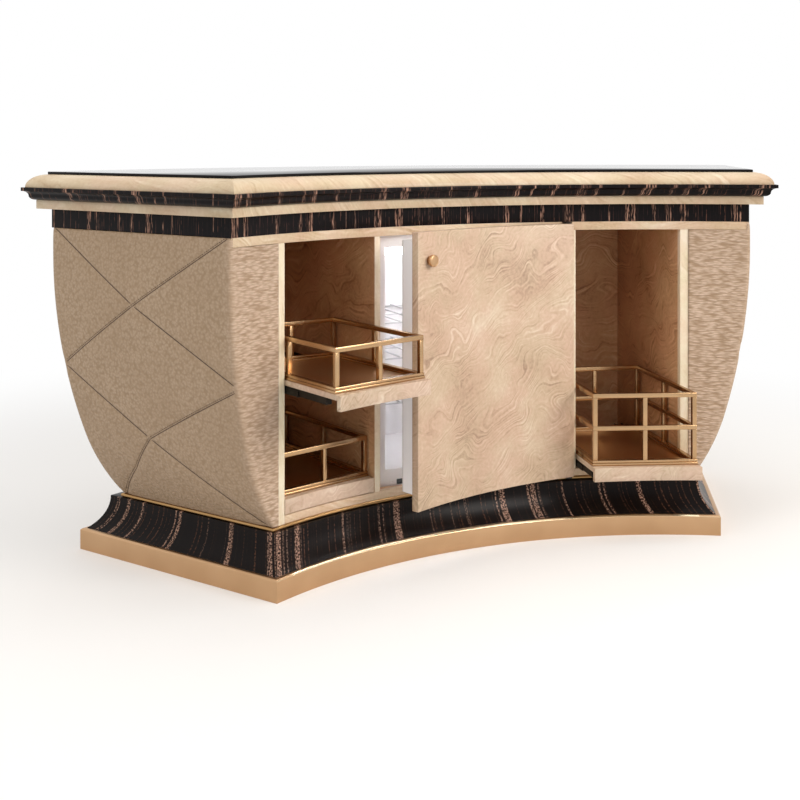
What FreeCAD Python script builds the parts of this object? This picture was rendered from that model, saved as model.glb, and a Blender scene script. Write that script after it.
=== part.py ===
import FreeCAD, Part
import math
import os
import re
import Sketcher
from FreeCAD import Placement, Rotation, Vector

# Home bar counter, curved in plan round a vertical axis on the barman's side.
# +X runs along the counter, +Y towards the customer, +Z up; the origin is under the middle foot pad.

SIZES = {
    # plan of the counter, in millimetres and degrees
    "half_angle": 31,
    "face_radius": 1432,
    "origin_depth": 308,
    # brass skirt
    "skirt_proud": 76,
    "skirt_front": 104,
    "skirt_end": 71,
    "skirt_height": 60,
    "skirt_wall": 30,
    # ebony cove plinth and its brass bead
    "cove_inset": 61,
    "cove_height": 93,
    "cove_spare": 21,
    "plinth_wall": 56,
    "bead_height": 11,
    "bead_proud": 5.5,
    # base board and foot pads
    "base_thick": 18,
    "pad_size": 60,
    "pad_inset": 90,
    "pad_angle": 24,
    # bowl-shaped body
    "body_height": 776,
    "bowl_straight": 70,
    "bowl_turn": 186,
    "side_top": 95,
    "side_draw": 166,
    "brim_depth": 688,
    "front_draw": 113,
    "turn_share": 0.548,
    "leather_thick": 4,
    "shell_thick": 12,
    "seam_inset": 20,
    # carcass
    "board_thick": 22,
    "top_board_thick": 25,
    "fit_gap": 0.3,
    "bay_angle": 13.02,
    "bay_margin": 18,
    "partition_thick": 20,
    "wall_thick": 20,
    "stile_width": 24,
    "stile_depth": 20,
    "back_gap": 7.43,
    "back_thick": 12,
    "middle_step": 15,
    # cornice
    "top_proud": 5,
    "top_inset": 2,
    "frieze_height": 55,
    "fillet_height": 25,
    "ogee_height": 36,
    "ogee_lip": 10,
    "bullnose_height": 36,
    "glass_thick": 8,
    "fillet_reach": 37,
    "ogee_reach": 74,
    "bullnose_reach": 64,
    "glass_reach": 10,
    "front_share": 0.65,
    "moulding_wall": 40,
    # door
    "door_proud": 32,
    "door_thick": 22,
    "left_edge_angle": 0.87,
    "right_edge_angle": 0.27,
    "door_gap": 4,
    "ajar_angle": 14.4,
    "pivot_inset": 14,
    "pin_radius": 4,
    "pin_length": 19,
    "pin_clearance": 0.05,
    "bush_wall": 3,
    "pin_end_gap": 2,
    "plate_thick": 3,
    "plate_width": 24,
    "plate_length": 92,
    "liner_margin": 20,
    "liner_inset": 24,
    "liner_rise": 44,
    "gasket_width": 18,
    "gasket_thick": 3.7,
    "gasket_gap": 0.3,
    "knob_drop": 80,
    "knob_inset": 50,
    "knob_radius": 17,
    "knob_neck": 8,
    "knob_length": 20,
    # fridge
    "fridge_side_gap": 6.25,
    "fridge_setback": 6,
    "fridge_wall": 32,
    "fridge_floor": 46,
    "fridge_clear": 2,
    "liner_skin": 3,
    "rib_width": 40,
    "rib_depth": 8,
    "shelf_low": 181,
    "shelf_middle": 313,
    "shelf_high": 418,
    "wire_thick": 4,
    "wire_pitch": 62,
    "light_height": 26,
    "light_depth": 60,
    "strip_thick": 4,
    "strip_height": 22,
    "strip_margin": 26,
    "display_wide": 43,
    "display_high": 15,
    "display_step": 37,
    "button_size": 11,
    "button_place": 260,
    "button_depth": 8,
    "button_flange": 2,
    "button_gap": 0.4,
    "inlet_wide": 48,
    "inlet_high": 28,
    "inlet_depth": 24,
    "inlet_clear": 21,
    # trays
    "tray_gap": 2,
    "tray_thick": 14,
    "tray_clear": 40,
    "apron_thick": 16,
    "apron_height": 40,
    "apron_clear": 2,
    "tray_step": 320,
    "upper_out": 265,
    "right_out": 170,
    "gallery_setback": 25,
    "gallery_inset": 2,
    "step_width": 19,
    "step_height": 8,
    "rod_width": 13,
    "bar_setback": 3,
    "one_tier": 117,
    "two_tier": 213,
    "mirror_thick": 3,
    # telescopic runners
    "rail_width": 26,
    "rail_wall": 2,
    "rail_height": 18,
    "rail_setback": 30,
    "rail_clear": 38,
    "rail_play": 0.3,
    "flange_thick": 4,
}

# Sizes worked out in the sheet: radii from the barman's face, and what has to fit between the bays.
WORKED = {
    "origin_radius": "face_radius + origin_depth",
    "body_low": "skirt_height + cove_height + bead_height",
    "side_foot": "side_top - side_draw",
    "side_turn": "side_draw * turn_share",
    "front_top": "face_radius + brim_depth",
    "front_foot": "front_top - front_draw",
    "front_turn": "front_draw * turn_share",
    "skirt_inner": "face_radius - skirt_proud",
    "skirt_outer": "front_foot + skirt_front",
    "skirt_side": "side_foot + skirt_end",
    "skirt_depth": "skirt_outer - skirt_inner",
    "cove_radius": "cove_height + cove_spare",
    "pad_inner": "skirt_inner + pad_inset",
    "pad_outer": "skirt_outer - pad_inset",
    "top_front": "front_top + top_proud",
    "top_side": "side_top - top_inset",
    "strip_angle": "half_angle - bay_angle",
    "strip_foot": "face_radius * sin(strip_angle * 1 deg) + side_foot * cos(strip_angle * 1 deg)",
    "bay_width": "strip_foot - bay_margin - stile_width - partition_thick / 2",
    "wall_reach": "partition_thick / 2 + bay_width + wall_thick",
    "back_radius": "front_foot - leather_thick - shell_thick - back_gap",
    "bay_back": "sqrt(back_radius ^ 2 - wall_reach ^ 2) - back_thick",
    "middle_back": "bay_back - middle_step",
    "door_inner": "face_radius - door_proud",
    "door_left": "bay_angle - left_edge_angle",
    "door_right": "bay_angle - right_edge_angle",
    "fridge_front": "face_radius + fridge_setback",
    "partition_slope": "partition_thick / 2 / cos(bay_angle * 1 deg)",
    "fridge_half": "fridge_front * tan(bay_angle * 1 deg) - partition_slope - fridge_side_gap",
    "strip_half": "fridge_half - strip_margin",
    "liner_half": "fridge_half - liner_margin",
    "fridge_depth": "middle_back - fridge_front - inlet_depth - inlet_clear",
    "display_place": "button_place - display_step",
    "liner_back": "fridge_front - gasket_thick - gasket_gap",
    "bush_length": "plate_thick + pin_length - door_gap + pin_end_gap",
    "lower_tray": "body_low + board_thick + apron_height + apron_clear",
    "upper_tray": "lower_tray + tray_step",
    "tray_rear": "bay_back - tray_clear",
    "rail_front": "face_radius + rail_setback",
    "rail_length": "bay_back - rail_front - rail_clear",
    "bowl_fall": "body_height - bowl_straight - bowl_turn",
}

# Bowl sections: an upper arc that leaves the straight brim, then a tighter one that carries on from it to
# the foot. Each has a radius and the angle that it turns through.
for face in ("side", "front"):
    WORKED.update({
        f"{face}_drop": f"{face}_top - {face}_foot - {face}_turn",
        f"{face}_bow": f"({face}_drop ^ 2 + bowl_fall ^ 2) / (2 * {face}_drop)",
        f"{face}_lean": f"asin(bowl_fall / {face}_bow) / 1 deg",
        f"{face}_chord": f"sqrt({face}_turn ^ 2 + bowl_turn ^ 2)",
        f"{face}_curl": f"{face}_chord ^ 2 / 2 / ({face}_turn * cos({face}_lean * 1 deg) "
                        f"- bowl_turn * sin({face}_lean * 1 deg))",
        f"{face}_sweep": f"2 * asin({face}_chord / 2 / {face}_curl) / 1 deg",
    })

doc = FreeCAD.newDocument("BarCounter")
sheet = doc.addObject("Spreadsheet::Sheet", "Sizes")
SHEET_ROWS = [(alias, str(number)) for alias, number in SIZES.items()]
SHEET_ROWS += [(alias, "=" + text) for alias, text in WORKED.items()]
for row, (alias, text) in enumerate(SHEET_ROWS, 1):
    sheet.set(f"A{row}", alias)
    sheet.set(f"B{row}", text)
    sheet.setAlias(f"B{row}", alias)
doc.recompute()
ALIASES = {alias for alias, text in SHEET_ROWS}

WORD = re.compile(r"[a-z_]+")
FAR = 4000
UP = Vector(0, 0, 1)
LEFT = -1
RIGHT = 1
nodes = []


def formula(text):
    """The sheet's own form of a size written with plain names."""
    return WORD.sub(lambda word: ("Sizes." if word.group() in ALIASES else "") + word.group(), str(text))


def value(text):
    """The number that a size works out to."""
    return float(sheet.evalExpression(formula(text)))


def bind(item, sizes):
    for name, text in sizes.items():
        item.setExpression(name, formula(text))
    return item


def node(item, label, place=None):
    """Name a finished piece and put it in its place."""
    item.Label = label
    if place is not None:
        item.Placement = place
    nodes.append(item)
    return item


def turned(angle):
    """Counter's frame turned about the axis of the arc; a positive angle goes to the right."""
    return Placement(Vector(0, 0, 0), Rotation(UP, -angle))


def counter():
    return Placement(Vector(0, -value("origin_radius"), 0), Rotation())


def bay(side, out=0):
    """Frame of a side bay: x from the middle of its partition, y away from the barman."""
    slide = Placement(Vector(0, -out, 0), Rotation())
    return counter().multiply(turned(side * value("bay_angle"))).multiply(slide)


def box(x, y, z):
    """Block between pairs of sizes along each axis."""
    item = doc.addObject("Part::Box", "Block")
    for length, axis, (low, high) in (("Length", "x", x), ("Width", "y", y), ("Height", "z", z)):
        bind(item, {length: f"({high}) - ({low})", f"Placement.Base.{axis}": low})
    return item


def disc(radius, low, high, x="0", y="0"):
    item = doc.addObject("Part::Cylinder", "Disc")
    return bind(item, {
        "Radius": radius,
        "Height": f"({high}) - ({low})",
        "Placement.Base.x": x,
        "Placement.Base.y": y,
        "Placement.Base.z": low,
    })


def cut(base, tool):
    item = doc.addObject("Part::Cut", "Cut")
    item.Base = base
    item.Tool = tool
    return item


def common(*pieces):
    item = doc.addObject("Part::MultiCommon", "Common")
    item.Shapes = list(pieces)
    return item


def fuse(*pieces):
    item = doc.addObject("Part::MultiFuse", "Fuse")
    item.Shapes = list(pieces)
    return item


def group(*pieces):
    item = doc.addObject("Part::Compound", "Group")
    item.Links = list(pieces)
    return item


def mirrored(piece):
    item = doc.addObject("Part::Mirroring", "Mirrored")
    item.Source = piece
    item.Normal = Vector(1, 0, 0)
    return item


def code_shape(shape):
    item = doc.addObject("Part::Feature", "Shaped")
    item.Shape = shape
    return item


def ring(inner, outer, low, high):
    return cut(disc(outer, low, high), disc(inner, low, high))


def slab(angle, side, reach, low, high):
    """Block whose outer face runs along a radial line, moved outwards by its reach."""
    item = doc.addObject("Part::Box", "Slab")
    item.Length = FAR
    item.Width = FAR
    bind(item, {"Height": f"({high}) - ({low})"})
    start = value(reach) - FAR if side == RIGHT else -value(reach)
    item.Placement = turned(side * value(angle)).multiply(Placement(Vector(start, 0, value(low)), Rotation()))
    return item


def between(angle, reach, low, high):
    return [slab(angle, side, reach, low, high) for side in (LEFT, RIGHT)]


def sector(inner, outer, reach, low, high):
    """Flat board over the counter's plan."""
    return common(ring(inner, outer, low, high), *between("half_angle", reach, low, high))


def outline(points, sketch=None):
    """Closed sketch through points that are pairs of sizes."""
    sketch = sketch or doc.addObject("Sketcher::SketchObject", "Outline")
    places = [Vector(value(x), value(y), 0) for x, y in points]
    count = len(places)
    for edge in range(count):
        sketch.addGeometry(Part.LineSegment(places[edge], places[(edge + 1) % count]), False)
    for edge in range(count):
        sketch.addConstraint(Sketcher.Constraint("Coincident", (edge - 1) % count, 2, edge, 1))
    for edge, (x, y) in enumerate(points):
        for kind, text in (("DistanceX", x), ("DistanceY", y)):
            index = sketch.addConstraint(Sketcher.Constraint(kind, -1, 1, edge, 1, value(text)))
            sketch.setExpression(f"Constraints[{index}]", formula(text))
    return sketch


def revolved(sketch):
    """Sketch of radius and height, turned about the axis of the arc."""
    sketch.Placement = Placement(Vector(0, 0, 0), Rotation(Vector(1, 1, 1), 120))
    item = doc.addObject("Part::Revolution", "Revolved")
    item.Source = sketch
    item.Axis = UP
    item.Base = Vector(0, 0, 0)
    item.Angle = 90
    item.Symmetric = True
    item.Solid = True
    return item


SIDE_DATUM = 400


def along_side(sketch):
    """Sketch of a left side's section, run along the radial line; x counts inwards from the datum."""
    turn = turned(-value("half_angle"))
    upright = Placement(Vector(-SIDE_DATUM, 0, 0), Rotation(Vector(1, 0, 0), 90))
    sketch.Placement = turn.multiply(upright)
    item = doc.addObject("Part::Extrusion", "Run")
    item.Base = sketch
    item.DirMode = "Normal"
    item.LengthFwd = 0
    item.LengthRev = FAR
    item.Solid = True
    return item


def plan_point(radius, reach):
    """Plan point of a left corner: on a radius, and outwards of the radial line by its reach."""
    turn = math.radians(value("half_angle"))
    run = math.sqrt(radius ** 2 - reach ** 2)
    x = -math.sin(turn) * run - math.cos(turn) * reach
    y = math.cos(turn) * run - math.sin(turn) * reach
    return Vector(x, y, 0)


def flipped(point):
    return Vector(-point.x, point.y, 0)


def prism(points, low, high):
    edges = Part.makePolygon(points + points[:1])
    face = Part.Face(edges)
    face.translate(Vector(0, 0, low))
    return face.extrude(Vector(0, 0, high - low))


def stretched(start, end, distance):
    """Points beyond both ends of a mitre line, the outer one first."""
    along = (end - start).normalize() * distance
    return end + along, start - along


def mitre_blocks(near, far, low, high):
    """Blocks that keep the barman's length, the left side and the customer's length of a frame."""
    long_reach = value("skirt_depth") * 1.2
    short_reach = value("skirt_depth") * 0.4
    near_out, near_in = stretched(*near, long_reach)
    far_out, far_in = stretched(*far, short_reach)
    side_near_out, side_near_in = stretched(*near, short_reach)
    slope = (far[1].y - far[0].y) / (far[1].x - far[0].x)
    crown = Vector(0, far[0].y - slope * far[0].x, 0)
    outer = Vector(far_out.x, FAR, 0)
    barman = [near_out, near_in, flipped(near_in), flipped(near_out)]
    side = [side_near_out, side_near_in, far_in, far_out]
    customer = [far_out, crown, flipped(far_out), flipped(outer), outer]
    return [code_shape(prism(points, low, high)) for points in (barman, side, customer)]


def moulding(label, base, section, ends):
    """Frame of four mitred lengths with one section, given as pairs of reach and height."""
    inner, side, outer, share = base
    lengths = []
    sketches = (
        [(f"{inner} - ({reach})", height) for reach, height in section],
        [(f"{SIDE_DATUM} - ({side}) - ({reach})", height) for reach, height in section],
        [(f"{outer} + ({reach}) * {share}", height) for reach, height in section],
    )
    runs = (
        revolved(outline(sketches[0])),
        along_side(outline(sketches[1])),
        revolved(outline(sketches[2])),
    )
    corners = [
        [plan_point(value(f"{inner} - ({reach})"), value(f"{side} + ({reach})")) for reach in ends],
        [plan_point(value(f"{outer} + ({reach}) * {share}"), value(f"{side} + ({reach})")) for reach in ends],
    ]
    heights = [value(height) for reach, height in section]
    blocks = mitre_blocks(*corners, min(heights), max(heights))
    for run, block in zip(runs, blocks):
        lengths.append(common(run, block))
    lengths.append(mirrored(lengths[1]))
    return node(group(*lengths), label, counter())


def arc(reach, height, angles):
    """Chords of an ellipse in a section: reach and height are pairs of its centre and half its size."""
    return [
        (f"{reach[0]} + ({reach[1]}) * cos({angle})", f"{height[0]} + ({height[1]}) * sin({angle})")
        for angle in angles
    ]


# Base: skirt, plinth, bead, base board and foot pads
def make_base():
    low = "skirt_height"
    high = "skirt_height + cove_height"
    plan = ("skirt_inner", "skirt_side", "skirt_outer", "1")
    skirt = [("0", "0"), ("0", low), ("-skirt_wall", low), ("-skirt_wall", "0")]
    moulding("brass_skirt", plan, skirt, ("-skirt_wall", "0"))
    back = "-cove_inset - plinth_wall"
    sweep = "asin(cove_height / cove_radius)"
    hollow = arc(
        ("cove_radius - cove_inset", "-cove_radius"),
        (high, "-cove_radius"),
        [f"{sweep} * {step}" for step in (1, 0.75, 0.5, 0.25, 0)],
    )
    moulding("plinth_cove", plan, hollow + [(back, high), (back, low)], (hollow[-1][0], hollow[0][0]))
    middle = (f"({high} + body_low) / 2", f"(body_low - ({high})) / 2")
    bead = arc(("0", "bead_proud"), middle, [f"{angle} deg" for angle in (-90, -30, 30, 90)])
    rest = "-plinth_wall"
    foot = ("face_radius", "side_foot", "front_foot", "1")
    moulding("brass_bead", foot, bead + [(rest, "body_low"), (rest, high)], (rest, "0"))
    floor = "skirt_height - base_thick"
    reach = "skirt_side - skirt_wall"
    board = sector("skirt_inner + skirt_wall", "skirt_outer - skirt_wall", reach, floor, low)
    node(board, "base_board", counter())
    places = [("0", "origin_radius")]
    for radius in ("pad_inner", "pad_outer"):
        for side in (LEFT, RIGHT):
            angle = f"({side} * pad_angle * 1 deg)"
            places.append((f"{radius} * sin{angle}", f"{radius} * cos{angle}"))
    half = "pad_size / 2"
    pads = [
        box((f"{x} - {half}", f"{x} + {half}"), (f"{y} - {half}", f"{y} + {half}"), ("0", floor))
        for x, y in places
    ]
    node(group(*pads), "foot_pads", counter())


BODY_TOP = "body_low + body_height"


def bowl(skin, chords):
    """Bowl-shaped body, drawn in by a skin's depth on every side."""
    inner = f"face_radius + {skin}"
    front = [(f"front_top - {skin} - ({drop})", height) for drop, height in bowl_line("front", chords)]
    side = [
        (f"{SIDE_DATUM} - side_top + {skin} + ({drop})", height)
        for drop, height in bowl_line("side", chords)
    ]
    ring_body = revolved(outline([(inner, BODY_TOP)] + front + [(inner, "body_low")]))
    left = along_side(outline([(str(FAR), BODY_TOP)] + side + [(str(FAR), "body_low")]))
    return common(ring_body, left, mirrored(left))


def bowl_line(face, chords):
    """Chords down a bowl's section, as pairs of how far it has drawn in from the brim and height."""
    brim = f"{BODY_TOP} - bowl_straight"
    line = [("0", BODY_TOP)]
    for step in range(chords + 1):
        angle = f"({face}_lean * {step} / {chords} * 1 deg)"
        line.append((f"{face}_bow * (1 - cos{angle})", f"{brim} - {face}_bow * sin{angle}"))
    lean = f"({face}_lean * 1 deg)"
    for step in range(1, chords + 1):
        angle = f"(({face}_lean + {face}_sweep * {step} / {chords}) * 1 deg)"
        drawn = f"{face}_drop + {face}_curl * (cos{lean} - cos{angle})"
        line.append((drawn, f"body_low + bowl_turn - {face}_curl * (sin{angle} - sin{lean})"))
    return line


# Upholstered body: leather on bent plywood, open at the barman's face between the stiles
def make_body():
    low = value("body_low")
    high = value(BODY_TOP)
    face_reach = "partition_thick / 2 + bay_width + stile_width"
    opening = common(
        ring("face_radius - stile_depth", "face_radius + stile_depth * 2", "body_low", BODY_TOP),
        *between("bay_angle", face_reach, "body_low", BODY_TOP),
    )
    rail_low = f"{BODY_TOP} - top_board_thick"
    groove = common(
        ring("face_radius - stile_depth", "face_radius + stile_depth + fit_gap", rail_low, BODY_TOP),
        *between("half_angle", "side_top - leather_thick", rail_low, BODY_TOP),
    )
    foot = plan_point(value("front_foot"), value("side_foot"))
    brim = plan_point(value("front_top"), value("side_top"))
    outer, inner = stretched(foot, brim, value("skirt_depth") * 0.4)
    slope = (brim.y - foot.y) / (brim.x - foot.x)
    inset = Vector(0, value("seam_inset"), 0)
    outer += inset
    crown = Vector(0, foot.y - slope * foot.x, 0) + inset
    far = Vector(outer.x, FAR, 0)
    near = Vector(outer.x, 0, 0)
    middle = Vector(0, 0, 0)
    regions = {
        "left": [outer, crown, middle, near],
        "right": [flipped(outer), crown, middle, flipped(near)],
        "front": [outer, crown, flipped(outer), flipped(far), far],
    }
    skins = "(leather_thick + shell_thick)"
    layers = (
        ("leather", bowl("0", 2), bowl("leather_thick", 2)),
        ("shell", bowl("leather_thick", 2), bowl(skins, 2)),
    )
    for kind, whole, hollow in layers:
        wall = cut(cut(cut(whole, hollow), opening), groove)
        for name, points in regions.items():
            piece = common(wall, code_shape(prism(points, low, high)))
            node(piece, f"{name}_{kind}", counter())


# Carcass: boards, rails, stiles, walls, partitions and back panels
def make_carcass():
    floor = "body_low + board_thick"
    ceiling = f"{BODY_TOP} - top_board_thick"
    rail_back = "face_radius + stile_depth"
    skins = "leather_thick + shell_thick + fit_gap"
    bay_reach = "partition_thick / 2 + bay_width"
    plates = {key: plate_block(key, "fit_gap") for key in ("low", "high")}
    ends = {
        "bottom": ("bay_angle", bay_reach),
        "top": ("half_angle", "side_top - leather_thick - fit_gap"),
    }
    for key, low, high, foot, brim in (
        ("bottom", "body_low", floor, f"side_foot - ({skins})", f"front_foot - ({skins})"),
        ("top", ceiling, BODY_TOP, f"side_top - ({skins})", f"front_top - ({skins})"),
    ):
        plate = plates["low" if key == "bottom" else "high"]
        board = cut(sector(rail_back, brim, foot, low, high), plate)
        node(board, f"{key}_board", counter())
        strip = common(ring("face_radius", rail_back, low, high), *between(*ends[key], low, high))
        node(cut(strip, plate), f"{key}_rail", counter())
    for side, name in ((LEFT, "left"), (RIGHT, "right")):
        reach = across(side, bay_reach, f"{bay_reach} + stile_width")
        stile = common(
            ring("face_radius", rail_back, "body_low", ceiling),
            box(reach, ("0", str(FAR)), ("body_low", ceiling)),
        )
        node(stile, f"{name}_stile", bay(side))
        reach = across(side, bay_reach, f"{bay_reach} + wall_thick")
        span = ("0", "bay_back + back_thick")
        wall = cut(box(reach, span, (floor, ceiling)), disc(rail_back, floor, ceiling))
        node(wall, f"{name}_wall", bay(side))
        reach = ("-partition_thick / 2", "partition_thick / 2")
        partition = cut(box(reach, span, (floor, ceiling)), disc("face_radius", floor, ceiling))
        node(partition, f"{name}_partition", bay(side))
    backs = []
    for side in (LEFT, RIGHT):
        reach = across(side, "partition_thick / 2", bay_reach)
        panel = cut(
            box(reach, ("bay_back", "bay_back + back_thick"), (floor, ceiling)),
            disc(rail_back, floor, ceiling),
        )
        panel.Placement = turned(side * value("bay_angle"))
        backs.append(panel)
    half = "(middle_back * tan(bay_angle * 1 deg) - partition_thick / 2 / cos(bay_angle * 1 deg))"
    backs.append(box((f"-{half}", half), ("middle_back", "middle_back + back_thick"), (floor, ceiling)))
    node(group(*backs), "back_panels", counter())


def across(side, near, far):
    """Span across a bay, counted from the middle of its partition."""
    return (near, far) if side == RIGHT else (f"-({far})", f"-({near})")


CORNICE = ("face_radius", "top_side", "top_front", "front_share")


# Cornice: frieze, fillet, ogee, bullnose, deck and glass
def make_cornice():
    frieze_low = BODY_TOP
    fillet_low = f"{frieze_low} + frieze_height"
    ogee_low = f"{fillet_low} + fillet_height"
    lip = f"{ogee_low} + ogee_height - ogee_lip"
    nose_low = f"{ogee_low} + ogee_height"
    glass_low = f"{nose_low} + bullnose_height"
    back = "-moulding_wall"
    frieze = [("0", frieze_low), ("0", fillet_low), (back, fillet_low), (back, frieze_low)]
    moulding("frieze", CORNICE, frieze, (back, "0"))
    fillet = [("fillet_reach", fillet_low), ("fillet_reach", ogee_low), (back, ogee_low), (back, fillet_low)]
    moulding("fillet", CORNICE, fillet, (back, "fillet_reach"))
    half_reach = "(ogee_reach - fillet_reach) / 2"
    half_height = "(ogee_height - ogee_lip) / 2"
    middle = f"{ogee_low} + {half_height}"
    turns = [f"{angle} deg" for angle in (-90, -45, 0, 45, 90)]
    belly = arc(("fillet_reach", half_reach), (middle, half_height), turns[:2])
    hollow = arc(("ogee_reach", f"-{half_reach}"), (middle, half_height), turns[2:])
    ogee = belly + hollow + [("ogee_reach", nose_low), (back, nose_low), (back, ogee_low)]
    moulding("ogee", CORNICE, ogee, ("fillet_reach", "ogee_reach"))
    nose = arc(
        ("glass_reach", "bullnose_reach - glass_reach"),
        (nose_low, "bullnose_height"),
        [f"{angle} deg" for angle in (0, 22.5, 45, 67.5, 90)],
    )
    nose += [("0", glass_low), ("0", nose_low)]
    moulding("bullnose", CORNICE, nose, ("glass_reach", "bullnose_reach"))
    deck = sector("face_radius", "top_front", CORNICE[1], nose_low, glass_low)
    node(deck, "top_deck", counter())
    glass = sector(
        "face_radius - glass_reach",
        "top_front + glass_reach * front_share",
        f"{CORNICE[1]} + glass_reach",
        glass_low,
        f"{glass_low} + glass_thick",
    )
    node(glass, "glass_top", counter())


DOOR_LOW = "body_low + door_gap"
DOOR_HIGH = f"{BODY_TOP} - door_gap"
PIVOT_RADIUS = "(door_inner + door_thick / 2)"
PIVOT_ANGLE = f"(door_right - pivot_inset / {PIVOT_RADIUS} * 180 / pi)"
PIVOT_X = f"{PIVOT_RADIUS} * sin({PIVOT_ANGLE} * 1 deg)"
PIVOT_Y = f"{PIVOT_RADIUS} * cos({PIVOT_ANGLE} * 1 deg)"


def plate_block(key, clearance):
    """Block of a pivot plate, grown by a clearance, along the radial line through the pivot."""
    low, high = ("body_low", "body_low + plate_thick")
    if key == "high":
        low, high = (f"{BODY_TOP} - plate_thick", BODY_TOP)
    half = f"(plate_width / 2 + {clearance})"
    depth = (PIVOT_RADIUS, f"{PIVOT_RADIUS} + plate_length + {clearance}")
    item = box((f"-{half}", half), depth, (low, high))
    lift = Vector(-value(half), value(PIVOT_RADIUS), value(low))
    for axis in ("x", "y", "z"):
        item.setExpression(f"Placement.Base.{axis}", None)
    item.Placement = turned(value(PIVOT_ANGLE)).multiply(Placement(lift, Rotation()))
    return item


def ajar():
    """Place of the door's pieces: turned about the pivot from the closed place."""
    pivot = Vector(value(PIVOT_X), value(PIVOT_Y), 0)
    swing = Placement(Vector(0, 0, 0), Rotation(UP, value("ajar_angle")), pivot)
    return counter().multiply(swing)


# Door: curved panel on two pivots, with its insulated back, gasket and knob
def make_door():
    outer = "door_inner + door_thick"
    turn = Placement(Vector(0, 0, 0), Rotation(UP, 90 - value("door_right")))
    wedge = bind(disc(outer, DOOR_LOW, DOOR_HIGH), {"Angle": "door_left + door_right"})
    wedge.Placement = Placement(Vector(0, 0, value(DOOR_LOW)), turn.Rotation)
    panel = cut(wedge, disc("door_inner", DOOR_LOW, DOOR_HIGH))
    hole = "pin_radius + pin_clearance + bush_wall + pin_clearance"
    bush = "pin_radius + pin_clearance + bush_wall"
    ends = ((DOOR_LOW, f"{DOOR_LOW} + bush_length"), (f"{DOOR_HIGH} - bush_length", DOOR_HIGH))
    bushes = []
    for low, high in ends:
        panel = cut(panel, disc(hole, low, high, PIVOT_X, PIVOT_Y))
        bore = disc("pin_radius + pin_clearance", low, high, PIVOT_X, PIVOT_Y)
        bushes.append(cut(disc(bush, low, high, PIVOT_X, PIVOT_Y), bore))
    node(panel, "door_panel", ajar())
    node(group(*bushes), "door_bushes", ajar())
    width = ("-liner_half", "liner_half")
    height = (f"{DOOR_LOW} + liner_rise", f"{DOOR_HIGH} - liner_inset")
    block = box(width, ("door_inner - liner_half", "liner_back"), height)
    node(cut(block, disc(f"{outer}", *height)), "door_liner", ajar())
    depth = ("liner_back", "liner_back + gasket_thick")
    hollow = box(
        tuple(f"{end} + {sign} * gasket_width" for end, sign in zip(width, (1, -1))),
        depth,
        tuple(f"{end} + {sign} * gasket_width" for end, sign in zip(height, (1, -1))),
    )
    node(cut(box(width, depth, height), hollow), "door_gasket", ajar())
    make_knob()
    plates = []
    for key, low, high in (
        ("low", "body_low + plate_thick", "body_low + plate_thick + pin_length"),
        ("high", f"{BODY_TOP} - plate_thick - pin_length", f"{BODY_TOP} - plate_thick"),
    ):
        thick = ("body_low", low) if key == "low" else (high, BODY_TOP)
        plate = fuse(plate_block(key, "0"), disc("plate_width / 2", *thick, PIVOT_X, PIVOT_Y))
        plates.append(fuse(plate, disc("pin_radius", low, high, PIVOT_X, PIVOT_Y)))
    node(group(*plates), "hinge_plates", counter())


def make_knob():
    """Turned knob: a neck and a wider head, revolved about its own axis."""
    body = doc.addObject("PartDesign::Body", "Knob")
    sketch = body.newObject("Sketcher::SketchObject", "KnobSection")
    planes = {plane.Role: plane for plane in body.Origin.OriginFeatures}
    sketch.AttachmentSupport = [(planes["XZ_Plane"], "")]
    sketch.MapMode = "FlatFace"
    points = [
        ("0", "0"),
        ("knob_neck", "0"),
        ("knob_neck", "knob_length * 0.45"),
        ("knob_radius", "knob_length * 0.45"),
        ("knob_radius", "knob_length"),
        ("0", "knob_length"),
    ]
    outline(points, sketch)
    doc.recompute()
    turn = body.newObject("PartDesign::Revolution", "KnobTurn")
    turn.Profile = sketch
    turn.ReferenceAxis = (sketch, ["V_Axis"])
    turn.Angle = 360
    angle = value("-door_left + knob_inset / door_inner * 180 / pi")
    foot = Vector(0, value("door_inner"), value(f"{DOOR_HIGH} - knob_drop"))
    seat = Placement(foot, Rotation(Vector(1, 0, 0), 90))
    node(body, "door_knob", ajar().multiply(turned(angle)).multiply(seat))


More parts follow.
